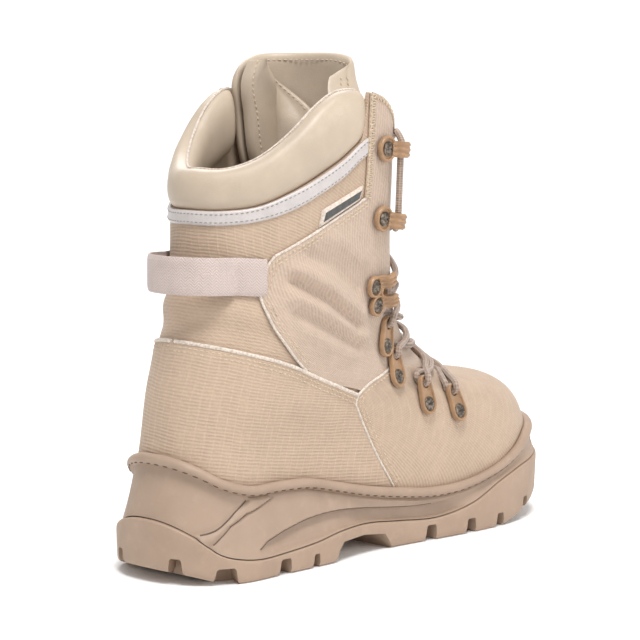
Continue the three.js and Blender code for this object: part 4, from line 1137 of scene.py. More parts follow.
# The tongue by ring: arc lengths across the face in millimetres, minus being the outer side,
# and how far it stands out of the face, at eight shares across from the outer hem to the inner.
tongue_shares = [0, 0.07, 0.14, 0.35, 0.55, 0.75, 0.92, 1]
tongue_rings = [3.75, 6.0, 8.0, 9.0, 9.6, 10.0, 10.35]
tongue_arcs = [
    [-24, -22, -18, -7, 4, 14, 22, 24],
    [-31, -28, -24, -8, 6, 18, 29, 32],
    [-36, -33, -28, -8, 12, 32, 48, 54],
    [-30, -33, -28, -6, 18, 44, 68, 76],
    [-20, -26, -21, -2, 24, 52, 74, 80],
    [-9, -14, -9, 8, 32, 58, 76, 81.5],
    [-9, -11, -6, 10, 32, 54, 68, 73],
]
tongue_lifts = [
    [-3.9, -3.9, -3.9, -3.9, -3.9, -3.9, -3.9, -3.9],
    [-3.9, -3.9, -3.9, -3.9, -3.9, -3.9, -3.9, -3.9],
    [-3.9, -3.9, -3.9, -3.9, -3.9, -3.9, -3.9, -3.9],
    [-17, -8, -4.2, -3.9, -3.9, -3.9, -4.2, -6],
    [-24, -12, -4.2, -2, -2, -4.2, -5, -6],
    [-20, -8, -2, -1.5, -2, -4, -5, -6.5],
    [-6, -4, -2, -2, -3, -4, -5, -7],
]


def across_tongue(rows, ring, share):
    """A tongue table's value at rings and shares of its width, from the outer hem to the inner."""
    ring, share = np.broadcast_arrays(np.asarray(ring, float), np.asarray(share, float))
    columns = []
    for column in zip(*rows):
        columns.append(along({"ring": tongue_rings, "value": column}, "ring", "value", ring))
    stack = np.stack(columns, axis=-1)
    knots = np.asarray(tongue_shares, float)
    k = np.clip(np.searchsorted(knots, share, side="right") - 1, 0, len(knots) - 2)
    f = (share - knots[k]) / (knots[k + 1] - knots[k])
    low = np.take_along_axis(stack, k[..., None], -1)[..., 0]
    high = np.take_along_axis(stack, k[..., None] + 1, -1)[..., 0]
    return low * (1 - f) + high * f


def softened(values, times=16):
    """Corners between the table's shares rounded off, along the first axis."""
    for _ in range(times):
        values[1:-1] = (values[:-2] + 2 * values[1:-1] + values[2:]) / 4
    return values


def make_tongue():
    """The padded tongue: quilted between the eyestays, with its top folded over on both sides."""
    start, top = tongue_rings[0], tongue_rings[-1]
    share, v = spread(120, 170)
    corner = 0.26 * (np.abs(2 * share - 1.04) ** 5)
    t = start + (top - start - corner) * v
    arc = softened(across_tongue(tongue_arcs, t, share))
    lift = softened(across_tongue(tongue_lifts, t, share))
    q = arc / half_length(t)
    opening = throat_half(t) - 2
    opened = np.clip((t - 4.6) / 0.9, 0, 1) * (1 - smooth_step(8.6, 9.3, t))
    safe = np.where(opening > 0.5, opening, 1.0)
    crown = np.where(opening > 0.5, opened * np.maximum(0, 1 - (arc / safe) ** 2), 0)
    lift = lift + np.minimum(crown * 2.2, 1) * (WALL + 0.7)
    below = 1 - smooth_step(7.6, 7.9, t)
    climbed = sample(CLIMBED, t, q * 0)
    quilt_step, quilt_depth, quilt_width, fold_ring = 25.0, 1.6, 2.2, 8.35
    phase = np.abs(((climbed / quilt_step) % 1.0) - 0.5) * quilt_step
    quilt = -quilt_depth * np.exp(-((phase - quilt_step / 2) / quilt_width) ** 2) * below
    quilt -= quilt_depth * np.exp(-(arc / quilt_width) ** 2) * below
    fold = climbed - float(sample(CLIMBED, fold_ring, 0.0))
    quilt += 1.4 * np.exp(-(fold / 5.0) ** 2) - 1.6 * np.exp(-((fold + 8.0) / 4.0) ** 2)
    quilt += 1.3 * np.sin(share * 15.0 + 0.6) * smooth_step(9.2, 10.1, t) * np.sin(np.pi * share)
    outer = place(t, q, lift + quilt, creased=False)
    inner = place(t, q, lift + 0.4 * quilt - TONGUE_THICKNESS, creased=False)
    edge = np.minimum(1, np.minimum(share, 1 - share) * 22) * np.minimum(1, (1 - v) * 34)
    edge = np.sqrt(np.clip(1 - (1 - edge) ** 2, 0, 1))
    centre = (outer + inner) / 2
    outer = centre + (outer - centre) * (0.25 + 0.75 * edge)[..., None]
    inner = centre + (inner - centre) * (0.25 + 0.75 * edge)[..., None]
    piece = thin_solid("tongue_leather", outer, inner, flat_map(t, q), "leather", ["tongue"], 70)
    hems = []
    for near in (0.05, 0.08):
        ring = np.linspace(8.8, top - 0.30, 120)
        path, normal = on_tongue(ring, np.full(120, near), -TONGUE_THICKNESS - 0.1)
        hems.append((path, -normal))
    across = np.linspace(0.12, 0.72, 100)
    ring = top - 0.10 - 0.26 * np.abs(2 * across - 1.04) ** 5
    path, normal = on_tongue(ring, across, -TONGUE_THICKNESS - 0.1)
    hems.append((path, -normal))
    stitches("tongue_stitches", hems, "stitch")
    return piece


def on_tongue(ring, share, lift):
    """Points at a lift from the tongue's outer face, with the face's normals there."""
    arc = across_tongue(tongue_arcs, ring, share)
    q = arc / half_length(ring)
    total = across_tongue(tongue_lifts, ring, share) + lift
    return place(ring, q, total, creased=False), out_of(ring, q)


def make_gusset():
    """The thin leather gusset that folds over the tongue's inner hem, with a slanting free edge."""
    share, v = spread(60, 90)
    free_edge = {"ring": [8.7, 9.4, 9.68, 10.0, 10.27], "arc": [2, 6, 20, 44, 66]}
    foot, head = free_edge["ring"][0], free_edge["ring"][-1]
    t = foot + (head - foot) * v
    free = along(free_edge, "ring", "arc", t)
    hem = across_tongue(tongue_arcs, t, 0.99)
    arc = hem + (free - hem) * share
    at_share = np.clip((arc + 10) / (hem + 10), 0.3, 0.985)
    base = across_tongue(tongue_lifts, t, at_share) - TONGUE_THICKNESS
    swell = 8.5 * np.sin(np.pi * share ** 0.62) ** 0.8 + 2.4 + 1.6 * smooth_step(0.80, 1.0, share)
    ripple = 1.2 * np.sin(share * 8.0 + v * 5.0) * share * (1 - share) * 4
    lift = base - swell - ripple
    q = arc / half_length(t)
    near = place(t, q, lift, creased=False)
    behind = place(t, q, lift - 1.4, creased=False)
    thin_solid("gusset_leather", near, behind, flat_map(t, q), "leather", [], 60)
    normal = -out_of(t[0], q[0])
    rows_sewn = [(behind[4], normal), (behind[-4], normal)]
    stitches("gusset_stitches", rows_sewn, "stitch")


# The sole's cup

# The cup's side: two slanting grooves and a long curve, by the share of the sole's length and
# by how far down the side they are, from 0 at the bead to 1 at the edge.
heel_lines = {"down": [0.03, 0.25, 0.50, 0.75, 0.97],
              "first": [0.125, 0.098, 0.074, 0.052, 0.034],
              "second": [0.185, 0.122, 0.086, 0.066, 0.052]}
side_curve = {"share": [0.14, 0.16, 0.20, 0.26, 0.32, 0.40, 0.51, 0.62, 0.68],
              "down": [0.85, 0.74, 0.64, 0.52, 0.45, 0.37, 0.30, 0.14, 0.0]}
LOW_LINE = (1.3, 0.5)


def level(vector):
    flat = vector.copy()
    flat[..., 2] = 0
    return unit(flat)


def beside(q, height, out):
    t = ring_at(q, height)
    point = at(t, q)
    point[..., 2] = height
    return point + level(out_of(t, q)) * np.asarray(out, float)[..., None]


def sole_edge(q, column, inset, rise):
    base = at(1.0, q)
    normal = level(out_of(1.0, q))
    flare = BALL_WIDTH * along(sole_side, "along", "flare", share_of(base[..., 0]))
    share = share_of(base[..., 0] + normal[..., 0] * flare)
    point = base + normal * (flare - inset)[..., None]
    point[..., 2] = FEATHER_HEIGHT * along(sole_side, "along", column, share) + rise
    return point


def make_cup():
    """The midsole: its rim with a rounded bead, the side with its relief and the flat underside."""
    columns, rows = 960, 44
    q = np.linspace(-1, 1, columns, endpoint=False)
    top = bead_top(q)
    floor = at(0.0, q)[:, 2]
    bead_out, bead_radius, bead_drop = 4.1, 2.7, 2.4
    sections = [
        beside(q, floor, 1.0),
        beside(q, floor + (top - floor) * 0.5, 1.1),
        beside(q, top - 3.0, 1.6),
        beside(q, top - 0.9, 2.1),
    ]
    for degrees in (140, 115, 90, 65, 40, 15, -10, -35, -60, -80):
        angle = math.radians(degrees)
        height = top - bead_drop + bead_radius * math.sin(angle)
        sections.append(beside(q, height, bead_out + bead_radius * math.cos(angle)))
    sections.append(beside(q, top - bead_drop - 3.4, bead_out - 1.0))
    shelf = beside(q, top - bead_drop - 4.6, bead_out + 0.2)
    low = sole_edge(q, "edge", *LOW_LINE)
    normal = level(low - shelf + level(out_of(1.0, q)) * 20)
    for k in range(rows + 1):
        r = k / rows
        relief_here = side_relief(share_of(low[:, 0]), r, q)
        sections.append(shelf * (1 - r) + low * r + normal * relief_here[:, None])
    sections.append(sole_edge(q, "edge", 3.0, 0.3))
    sections.append(sole_edge(q, "edge", 12.0, 0.3))
    points = np.stack(sections, axis=1)
    count = points.shape[1]
    faces = ribbon(columns, count)
    for i in range(columns):
        a, b = i * count, (i + 1) % columns * count
        faces.append([a, b, b + count - 1, a + count - 1])
    part = unmapped(points.reshape(-1, 3), faces)
    piece = make("sole_cup", part, "rubber", 50, ["midsole"])
    seam = beside(q, top - 4.6, 5.7)
    path = even(np.concatenate([seam, seam[:1]]), 0.8)
    nearest = [int(np.argmin(np.linalg.norm(seam - spot, axis=1))) for spot in path]
    normals = level(out_of(1.0, q))[nearest] * 0.8 + np.array([0, 0, -0.6])
    stitches("sole_stitches", [(path, normals)], "dark_stitch", 5.6, 3.6, 1.1, 0.35)
    return piece


def side_relief(share, r, q):
    """Relief of the cup's side in millimetres: share along the sole, r from groove to edge line.
    Two slanting grooves bound the heel's plain part, and a long curve steps in below it."""
    half = float(half_length(1.0)) * 1.05
    line = np.linspace(-1, 0, 400)
    line_share = share_of(sole_edge(line, "edge", *LOW_LINE)[:, 0])
    first, second = [
        np.interp(np.interp(r, heel_lines["down"], heel_lines[name]), line_share, -line)
        for name in ("first", "second")]
    first, second = (first - np.abs(q)) * half, (second - np.abs(q)) * half
    grooves = -1.5 * np.exp(-(first / 1.1) ** 2) - 1.3 * np.exp(-(second / 1.0) ** 2)
    between = 0.7 * smooth_step(0.0, 3.0, first) * (1 - smooth_step(-3.0, 0.0, second))
    bare = -1.2 * (1 - smooth_step(-1.4, 0.0, first))
    curve = np.interp(share, side_curve["share"], side_curve["down"])
    under = smooth_step(curve - 0.01, curve + 0.035, r) * (1 - smooth_step(0.90, 0.98, r))
    scoop = -2.9 * under * smooth_step(0.13, 0.20, share) * (1 - smooth_step(0.62, 0.68, share))
    toe = smooth_step(0.86, 0.93, share)
    return grooves + between + bare + scoop + 0.35 * toe * np.sin(r * 22.0) - 0.5 * r * (1 - r) * 4


def make_cup_lines():
    """Thin dark lines at the bottom of the grooves of the cup's side, on both sides: painted shadow in the
    grooves.
    """
    steps = 90
    q = np.linspace(-1, 0, 700)
    share_line = share_of(sole_edge(q, "edge", *LOW_LINE)[:, 0])
    lines = ((heel_lines["down"], heel_lines["first"], -0.55, 0.50),
             (heel_lines["down"], heel_lines["second"], -0.45, 0.45),
             (side_curve["down"][:8], side_curve["share"][:8], -0.25, 0.30))
    parts = []
    for down, shares, lift, radius in lines:
        knots = np.linspace(0, 1, len(down))
        run = np.linspace(0, 1, steps)
        r = np.interp(run, knots, down)
        around = np.interp(np.interp(run, knots, shares), share_line, -q)
        for side in (-1, 1):
            spots = side * around
            shelf = beside(spots, bead_top(spots) - 7.0, 4.3)
            low = sole_edge(spots, "edge", *LOW_LINE)
            raised = side_relief(share_of(low[:, 0]), r, -around) + lift + 0.45
            path = shelf * (1 - r)[:, None] + low * r[:, None]
            path = path + level(out_of(1.0, spots)) * raised[:, None]
            parts.append(tube_parts(even(spline(path[::6], 1.0), 1.0), radius, 6))
    make("cup_groove_shadow_lines", join(parts), "groove", 60)


# The tread

# Each notch: the share of the sole's length where it meets the outer and the inner edge, and its
# width, its depth and how far it reaches in. Then the toe's ribs, by their place round the side,
# and the arch, by the shares of the length where it starts and ends, and its depth.
lug_notches = {
    "outer": [0.012, 0.070, 0.195, 0.267, 0.565, 0.666, 0.747, 0.835],
    "inner": [0.015, 0.095, 0.20, 0.262, 0.56, 0.65, 0.74, 0.825],
    "width": [8.0, 13.0, 9.0, 5.0, 8.5, 8.0, 7.0, 6.5],
    "depth": [8.0, 8.0, 8.5, 7.5, 9.0, 8.5, 8.0, 7.5],
    "reach": [12, 12, 13, 12, 22, 22, 22, 18],
}
toe_ribs = [0.045, 0.075, 0.105]
ARCH = (0.318, 0.475, 11.0)


def prism(profile, y_from, y_to, turn, x, y, z):
    """A solid from an x, z outline, swept along y, then turned and moved."""
    count = len(profile)
    cos, sin = math.cos(turn), math.sin(turn)
    points = []
    for py in (y_from, y_to):
        points += [(px * cos - py * sin + x, px * sin + py * cos + y, pz + z) for px, pz in profile]
    faces = [[k, (k + 1) % count, count + (k + 1) % count, count + k] for k in range(count)]
    faces.append(list(range(count))[::-1])
    faces.append(list(range(count, 2 * count)))
    return unmapped(points, faces)


def notch_profile(width, depth):
    half = width / 2
    return [(-half - 1.0, -6), (-half - 1.0, -0.2), (-half, 0.9), (-half * 0.8, depth - 1),
            (-half * 0.62, depth), (half * 0.62, depth), (half * 0.8, depth - 1), (half, 0.9),
            (half + 1.0, -0.2), (half + 1.0, -6)]


def side_cutter(q, profile, reach):
    """A cutter that enters the tread's edge at q, square to it."""
    x, y, ground = sole_edge(np.array([q]), "tread", 0.0, 0.0)[0]
    outward = level(out_of(1.0, q))
    return prism(profile, -reach, 9, math.atan2(-outward[0], outward[1]), x, y, ground)


def make_tread():
    columns = 300
    q = np.linspace(-1, 1, columns, endpoint=False)
    sections = [sole_edge(q, "edge", inset, rise)
                for inset, rise in ((12.0, -0.1), (2.2, -0.1), (0.7, -0.15), (0.15, -0.7))]
    lip, foot = sole_edge(q, "edge", 0.0, -1.6), sole_edge(q, "tread", 0.5, 3.0)
    sections += [lip * (1 - r) + foot * r for r in (0.0, 0.25, 0.5, 0.75, 1.0)]
    sections += [sole_edge(q, "tread", inset, rise)
                 for inset, rise in ((1.0, 1.4), (1.9, 0.4), (3.2, 0.0))]
    points = np.stack(sections, axis=1)
    rows = points.shape[1]
    faces = ribbon(columns, rows) + lid(columns, rows, 0, False) + lid(columns, rows, rows - 1, True)
    body = make("sole_tread", (points.reshape(-1, 3), faces, None), "tread", 28, ["outsole"])
    arch_start, arch_end, arch_depth = ARCH
    arch_outline = [(0, 0), (0.04, 0.55), (0.12, 0.95), (0.5, 1), (0.86, 0.8), (1, 0)]
    length = (arch_end - arch_start) * SOLE_LENGTH
    arch = [(0, -20)] + [(length * x, arch_depth * z) for x, z in arch_outline] + [(length, -20)]
    cutters = [prism(arch, -BALL_WIDTH, BALL_WIDTH, 0, arch_start * SOLE_LENGTH - HEEL_SET_BACK, 0, 0)]
    for k, reach in enumerate(lug_notches["reach"]):
        profile = notch_profile(lug_notches["width"][k], lug_notches["depth"][k])
        for side, word in SIDES:
            spots = side * np.linspace(0.08, 0.97, 400)
            edge = share_of(sole_edge(spots, "tread", 0.0, 0.0)[:, 0])
            spot = int(np.argmin(np.abs(edge - lug_notches[word][k])))
            cutters.append(side_cutter(spots[spot], profile, reach))
    for around in toe_ribs:
        for side in (-1, 1):
            cutters.append(side_cutter(side * around, notch_profile(3.0, 7.0), 6))
    profile = [(-2.6, -6), (-2.6, 0.4), (-1.8, 5.5), (1.8, 5.5), (2.6, 0.4), (2.6, -6)]
    for y, bend in ((-BALL_WIDTH * 0.13, 0.0), (BALL_WIDTH * 0.16, 0.02)):
        for start, end in ((0.06, arch_start + 0.01), (arch_end - 0.01, 0.80)):
            x = start * SOLE_LENGTH - HEEL_SET_BACK
            cutters.append(prism(profile, -(end - start) * SOLE_LENGTH, 0, math.pi / 2, x, y + bend, 0))
    cut_away(body, cutters)
    return body


def cut_away(body, cutters):
    points, faces, _ = join(cutters)
    mesh = bpy.data.meshes.new("cutters")
    mesh.from_pydata((points * MM).tolist(), [], faces)
    tool = bpy.data.objects.new("cutters", mesh)
    bpy.context.scene.collection.objects.link(tool)
    fix_normals(mesh)
    fix_normals(body.data)
    change = body.modifiers.new("cut", "BOOLEAN")
    change.operation = "DIFFERENCE"
    change.object = tool
    change.solver = "EXACT"
    change.use_self = True
    graph = bpy.context.evaluated_depsgraph_get()
    made = bpy.data.meshes.new_from_object(body.evaluated_get(graph))
    body.modifiers.clear()
    old = body.data
    body.data = made
    bpy.data.meshes.remove(old)
    bpy.data.objects.remove(tool)
    made.polygons.foreach_set("use_smooth", [True] * len(made.polygons))
    made.set_sharp_from_angle(angle=math.radians(28))


def fix_normals(mesh):
    import bmesh
    work = bmesh.new()
    work.from_mesh(mesh)
    bmesh.ops.recalc_face_normals(work, faces=work.faces)
    work.to_mesh(mesh)
    work.free()


def make_insole():
    columns = 160
    q = np.linspace(-1, 1, columns, endpoint=False)
    base = at(0.0, q)
    normal = level(out_of(0.4, q))
    rim = base - normal * (WALL + 1.0)
    rim[:, 2] = base[:, 2] + 4.0
    low = base - normal * (WALL + 1.6)
    low[:, 2] = base[:, 2] + 0.3
    soft = rim - normal * 1.2
    soft[:, 2] += 0.8
    spine = (soft + soft[(-np.arange(columns)) % columns]) / 2
    sections = [low, rim, soft]
    for f in np.linspace(0.15, 1, 8):
        inner = soft * (1 - f) + spine * f
        inner[:, 2] -= 1.2 * f
        sections.append(inner)
    points = np.stack(sections, axis=1)
    rows = points.shape[1]
    faces = ribbon(columns, rows, turned=True) + lid(columns, rows, 0, True)
    piece = make("insole_felt", (points.reshape(-1, 3), faces, None), "insole", 50, ["insole"])
    weld(piece, 0.05)
    fix_normals(piece.data)
    return piece


def make_strap():
    """The webbing loop at the back: both ends lie on the shaft and its middle stands off."""
    columns, rows = 90, 14
    width, thickness, stand_off = 19.0, 1.6, 14.0
    ring, end = 6.8, 0.765
    u = np.linspace(-1, 1, columns)
    q = np.where(u < 0, 1.0, -1.0) * (1 - (1 - end) * np.abs(u))
    normal = level(out_of(ring, q))
    off = 0.9 + stand_off * np.maximum(0, np.cos(u * np.pi / 1.25)) ** 0.8
    middle = at(ring, q) + normal * off[:, None]
    v = np.linspace(-0.5, 0.5, rows)
    low = middle[:, None] + np.array([0, 0, 1.0]) * (v * width)[None, :, None]
    bulge = thickness * (1 - (2 * np.abs(v)) ** 8 * 0.5)
    high = low + normal[:, None] * bulge[None, :, None]
    flat = np.stack(np.broadcast_arrays(run_of(middle)[:, None], (v * width)[None, :]), axis=-1)
    return thin_solid("pull_webbing", high, low, flat, "web", ["pull_strap"], 50)


# Lace hardware

def hull_outline(big, small, length, inset, count=48):
    """The outline round two circles on the x axis, drawn in by an inset, by angle from the far one."""
    r1, r2 = big - inset, small - inset
    tip = math.acos((r1 - r2) / length)
    points = []
    for k in range(count):
        angle = 2 * math.pi * k / count
        direction = np.array([math.cos(angle), math.sin(angle)])
        best = 0.0
        for centre, radius in ((0.0, r1), (length, r2)):
            offset = np.array([centre - length, 0.0])
            b = np.dot(direction, offset)
            root = b * b - np.dot(offset, offset) + radius ** 2
            if root > 0:
                best = max(best, b + math.sqrt(root))
        for sign in (-1, 1):
            normal = np.array([math.cos(tip), sign * math.sin(tip)])
            a = normal * r1 + np.array([-length, 0.0])
            edge = normal * r2 - a
            matrix = np.array([direction, -edge]).T
            if abs(np.linalg.det(matrix)) > 1e-9:
                far, share = np.linalg.solve(matrix, a)
                if 0 <= share <= 1 and far > 0:
                    best = max(best, far)
        points.append(direction * best + np.array([length, 0.0]))
    return np.array(points)


def plate_parts(rings_xy, heights, closed=True):
    """A plate through rings of x, y points at heights, closed from the last ring to the first."""
    count = len(rings_xy[0])
    rows = [np.column_stack([ring, np.full(count, z)]) for ring, z in zip(rings_xy, heights)]
    return unmapped(np.concatenate(rows), hoops(len(rows), count, closed=closed))


def circle(radius, centre=(0.0, 0.0), count=48):
    angle = 2 * np.pi * np.arange(count) / count
    return np.stack([centre[0] + radius * np.cos(angle), centre[1] + radius * np.sin(angle)], axis=1)


LOOP_BIG, LOOP_SMALL, LOOP_LENGTH, LOOP_HOLE = 5.9, 4.7, 11.2, 2.4


def loop_parts():
    """A teardrop plate with a raised rim and a hole for the lace at its far end."""
    sizes = (LOOP_BIG, LOOP_SMALL, LOOP_LENGTH)
    outline = [hull_outline(*sizes, inset) for inset in (0.35, 0, 0, 0.4, 1.2, 1.6)]
    hole = [circle(LOOP_HOLE + more, (LOOP_LENGTH, 0.0)) for more in (0.9, 0.25, 0, 0.3)]
    return plate_parts(outline + hole, [0.0, 0.4, 2.1, 2.7, 2.7, 1.8, 1.8, 2.3, 1.2, 0.0])


def disc_plate_parts(radius, y=0.0):
    """A round plate with a raised rim, its middle closed by a small well."""
    point = 0.05
    radii = [point, radius - 0.3, radius, radius, radius - 0.5, radius - 1.3, radius - 1.8, point]
    outlines = [circle(one, (0.0, y)) for one in radii]
    return plate_parts(outlines, [0.0, 0.0, 0.4, 2.0, 2.6, 2.6, 1.7, 1.7], closed=False)


def rivet_parts():
    """A domed head with a cross pressed into it, on a thin washer."""
    dome_radii = [0.02, 0.5, 1.0, 1.5, 2.0, 2.5, 3.0, 3.4, 3.7]
    washer_radius, washer_height = 3.9, 0.35
    cross_depth = 0.75
    count = 40
    points = []
    for r in dome_radii:
        for x, y in circle(r, count=count):
            dome = 1.7 - 0.075 * r * r
            in_cross = 1 - smooth_step(0.3, 0.75, min(abs(x), abs(y)))
            dent = cross_depth * in_cross * (1 - smooth_step(1.9, 2.5, r))
            points.append((x, y, dome - float(dent)))
    for z in (washer_height, 0.0):
        points += [(x, y, z) for x, y in circle(washer_radius, count=count)]
    return unmapped(points, hoops(len(dome_radii) + 2, count, turned=True, capped=True))


def arm_parts(y=0.0, lean=0.0, width=8.4):
    """The hook's arm: it leaves the plate, rises and reaches over the lace, with three ribs."""
    side_view = [(3.6, 0.2), (3.6, 2.3), (5.4, 2.7), (6.2, 4.0), (6.7, 5.8), (7.8, 6.9), (10.8, 7.0),
                 (12.6, 6.6), (13.0, 6.0), (12.8, 5.0), (12.2, 4.6), (10.6, 4.7), (9.2, 4.7), (8.4, 4.1),
                 (8.1, 3.0), (7.8, 1.2), (7.0, 0.2)]
    foot = side_view[0][0]
    on_top = {2, 3, 4, 5, 6, 7}
    stations = 19
    points = []
    for k in range(stations):
        v = 2 * k / (stations - 1) - 1
        rib = 0.38 * math.cos(v * math.pi * 3) if abs(v) < 0.97 else -0.5
        narrow = 1 - 0.10 * abs(v) ** 6
        for number, (x, z) in enumerate(side_view):
            sideways = y + v * width / 2 + lean * max(0, x - 6) / 12
            points.append((foot + (x - foot) * narrow, sideways, z + (rib if number in on_top else 0)))
    return unmapped(points, hoops(stations, len(side_view), capped=True))


def bridge_parts():
    """The double hook's middle: a web between its plates with a ringed hole ahead of them."""
    outlines = [circle(radius, (6.4, 0)) for radius in (3.2, 3.5, 3.5, 3.0, 2.2, 1.8, 1.8)]
    return plate_parts(outlines, [0.0, 0.3, 2.4, 3.0, 3.0, 2.4, 0.0])


def seat(ring, q, aim_ring):
    """Where a plate sits: its place and its directions to the throat, across and out."""
    point = place(ring, q, SEAT_LIFT, creased=False)
    out = out_of(ring, q)
    ahead = at(aim_ring, 0.0) - point
    ahead = unit(ahead - out * np.dot(ahead, out))
    return point, np.array([ahead, np.cross(out, ahead), out])


def moved(parts, point, axes, shift=(0, 0, 0)):
    points, faces, flat = parts
    return (points + np.array(shift)) @ axes + point, faces, flat


# Each seat's ring, its place round the face and the ring at the throat that it points to.
lace_loops = [(2.30, 0.362, 5.5), (2.68, 0.424, 7.0), (4.02, 0.399, 9.0), (5.14, 0.347, 10.2)]
double_hooks = [(6.46, 0.355, 7.25)]
lace_hooks = [(8.10, 0.333, 8.10), (9.22, 0.340, 9.22)]
TWIN_REACH = 5.4
RIVET_LIFT = 1.75


def add_hardware():
    """Loops, hooks and rivets on both sides. Returns each seat, by side, from the lowest up."""
    twin_hook = [disc_plate_parts(5.9, -TWIN_REACH), disc_plate_parts(5.9, TWIN_REACH),
                 arm_parts(-5.6, -1.0, 6.6), arm_parts(5.6, 1.0, 6.6), bridge_parts()]
    open_hook = [disc_plate_parts(6.8), arm_parts()]
    kinds = (("loop", "lace_loop", [loop_parts()], lace_loops, (0,)),
             ("twin_hook", "double_hook", twin_hook, double_hooks, (-TWIN_REACH, TWIN_REACH)),
             ("open_hook", "hook", open_hook, lace_hooks, (0,)))
    seats = {-1: [], 1: []}
    for side, word in SIDES:
        rivets = 0
        for name, node, body, spots, rivet_places in kinds:
            for number, (ring, around, aim_ring) in enumerate(spots):
                seated = seat(ring, side * around, aim_ring)
                seats[side].append(seated)
                mark = f"_{number + 1}_{word}" if len(spots) > 1 else f"_{word}"
                make(name + mark, moved(join(body), *seated), "nylon", 40, [node + mark])
                for y in rivet_places:
                    rivets += 1
                    head = moved(rivet_parts(), *seated, (0, y, RIVET_LIFT))
                    mark = f"_{rivets}_{word}"
                    make("rivet_head" + mark, head, "metal", 50, ["rivet" + mark])
    return seats


def spot_on_face(point):
    """The (ring, around) place of the face nearest to a point."""
    row, column = np.unravel_index(np.argmin(np.sum((FACE - point) ** 2, axis=2)), FACE.shape[:2])
    return float(T_AXIS[row]), float(Q_AXIS[column])


def make_lace(seats):
    """One lace from the top outer hook down through the loops and up to the top inner hook."""
    loop_count, far, hook_reach, over_stay = len(lace_loops), LOOP_LENGTH, 14.0, 4.2
    middles = (4.75, 5.15, 5.75, 6.6, 7.6)

    def spot(side, number, x, y, z):
        point, axes = seats[side][number]
        return np.array([x, y, z]) @ axes + point

    def on_face(t, q, lift):
        return place(t, q, lift, creased=False)

    def loop_turn(side, number):
        """In under the loop's tip and up through its hole."""
        way = ((far + 6.4, 1.2, -1.2), (far + 1.8, 0.6, -1.9), (far - 0.2, 0.0, 0.8),
               (far + 0.6, -0.4, 3.2), (far + 4.0, -0.6, 4.4))
        return [spot(side, number, *step) for step in way]

    def hook_turn(side, number):
        """Round the inside of a hook, under its arm."""
        way = ((10.2, -4.0, 2.5), (9.9, 0.0, 2.5), (10.2, 4.0, 2.5))
        return [spot(side, number, *step) for step in way]

    def over_face(start, end, lift):
        """Spots between two (ring, around) places, kept above the face."""
        start, end = np.array(start), np.array(end)
        return [on_face(*(start * (1 - share) + end * share), lift) for share in (0.25, 0.5, 0.75)]

    def crossing(ring, side, start, end, lift):
        """From one side's seat over the tongue to the other side's, each given as (ring, around)."""
        to_middle = over_face(start, (ring, side * 0.03), over_stay)
        from_middle = over_face((ring, -side * 0.03), end, over_stay)
        return to_middle + [on_face(ring, 0.0, lift)] + from_middle

    tips = {}
    for side in (-1, 1):
        for number in range(loop_count + 2):
            reach = far + 5 if number < loop_count else hook_reach
            tips[side, number] = spot_on_face(spot(side, number, reach, 0.0, 0.0))
    half_paths = []
    for first_side, lift in ((-1, 4.0), (1, 7.6)):
        side = first_side
        path = loop_turn(side, 0)
        for number, ring in enumerate(middles, 1):
            path += crossing(ring, side, tips[side, number - 1], tips[-side, number], lift)
            side = -side
            path += loop_turn(side, number) if number < loop_count else hook_turn(side, number)
        path += hook_turn(side, len(middles) + 1)
        ends = ((9.40, 0.27, 3.6), (9.38, 0.225, 3.4), (9.28, 0.185, 2.6))
        path += [on_face(ring, side * around, rise) for ring, around, rise in ends]
        half_paths.append(path)
    bar = [on_face(4.3, -0.08, 3.4), on_face(4.32, 0.0, 3.6), on_face(4.3, 0.08, 3.4)]
    path = spline(half_paths[0][::-1] + bar + half_paths[1], 1.1)
    tube("lace_braid", path, LACE_DIAMETER / 2, "lace", 10, ["lace"])


# The room

def set_stage():
    """The floor, which curves up into a wall behind the boot as the camera sees it."""
    half_width, flat_to, radius, wall_height = 4.0, 1.2, 0.9, 2.2
    rows = [(-half_width, 0.0), (flat_to, 0.0)]
    for k in range(1, 13):
        angle = k / 12 * math.pi / 2
        rows.append((flat_to + radius * math.sin(angle), radius - radius * math.cos(angle)))
    rows.append((flat_to + radius, wall_height))
    cos, sin = math.cos(math.radians(45)), math.sin(math.radians(45))
    ends = (-half_width, half_width)
    points = [(x * cos - y * sin, x * sin + y * cos, z) for x, z in rows for y in ends]
    faces = [[2 * k + 2, 2 * k + 3, 2 * k + 1, 2 * k] for k in range(len(rows) - 1)]
    floor_mesh = bpy.data.meshes.new("floor")
    floor_mesh.from_pydata(points, [], faces)
    floor_mesh.polygons.foreach_set("use_smooth", [True] * len(faces))
    floor_mesh.materials.append(Shader("studio_floor", (250, 250, 250), 0.7).material)
    floor = bpy.data.objects.new("floor", floor_mesh)
    bpy.context.scene.collection.objects.link(floor)


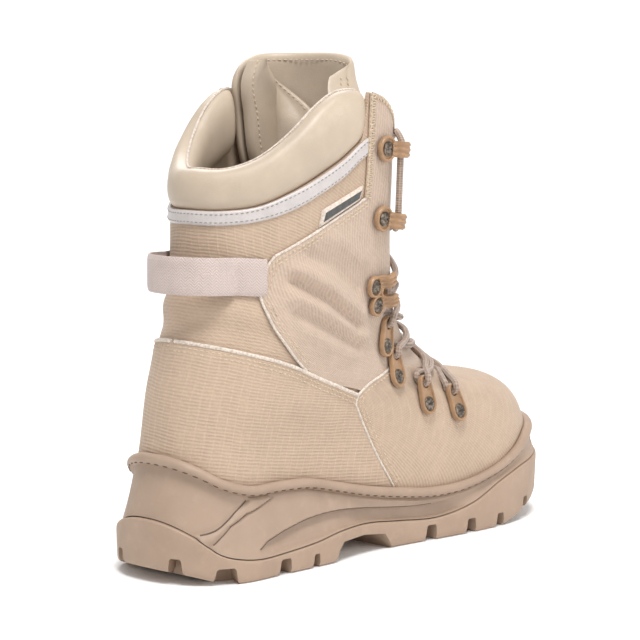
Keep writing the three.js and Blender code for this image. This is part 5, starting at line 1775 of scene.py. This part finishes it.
def add_light(name, place_at, aim, size, power):
    light = bpy.data.lights.new(name, "AREA")
    light.shape = "DISK"
    light.size = size
    light.energy = power
    lamp = bpy.data.objects.new(name, light)
    lamp.location = place_at
    direction = Vector(aim) - Vector(place_at)
    lamp.rotation_euler = direction.to_track_quat("-Z", "Y").to_euler()
    bpy.context.scene.collection.objects.link(lamp)


def set_lights():
    world = bpy.data.worlds.new("studio")
    world.use_nodes = True
    background = world.node_tree.nodes["Background"]
    background.inputs["Color"].default_value = (1.0, 1.0, 1.0, 1.0)
    background.inputs["Strength"].default_value = 0.64
    bpy.context.scene.world = world
    middle = (0.1, 0.0, 0.12)
    add_light("key", (-0.35, -0.55, 1.6), middle, 0.6, 22)
    add_light("fill", (0.5, -1.6, 0.7), middle, 1.0, 7)
    add_light("rim", (0.9, 1.0, 1.3), middle, 0.8, 9)


CAMERA_AT = (-0.794, -0.761, 0.261)
CAMERA_AIM = (0.104, 0.0125, 0.1181)
CAMERA_UP = (0.0805, 0.0813, 0.9934)
PHOTO_FOCAL_PIXELS = 1598.3
PHOTO_PIXELS = 640
ZOOM = 1.36


def set_camera():
    data = bpy.data.cameras.new("camera")
    data.sensor_width = 36
    data.lens = 36 * PHOTO_FOCAL_PIXELS * ZOOM / PHOTO_PIXELS
    camera = bpy.data.objects.new("camera", data)
    camera.location = CAMERA_AT
    ahead = (Vector(CAMERA_AIM) - Vector(CAMERA_AT)).normalized()
    right = ahead.cross(Vector(CAMERA_UP)).normalized()
    above = right.cross(ahead)
    turned = Matrix((right, above, -ahead)).transposed()
    camera.rotation_euler = turned.to_euler()
    bpy.context.scene.collection.objects.link(camera)
    bpy.context.scene.camera = camera


set_camera()
set_stage()
set_lights()
make_upper()
make_vamp()
make_counter()
for side, word in SIDES:
    make_ankle(side, word)
    make_eyestay(side, word)
make_band()
make_label()
make_seams()
make_pad()
make_tongue()
make_gusset()
make_cup()
make_cup_lines()
make_tread()
make_insole()
make_strap()
make_lace(add_hardware())
bpy.context.scene.view_settings.view_transform = "Standard"
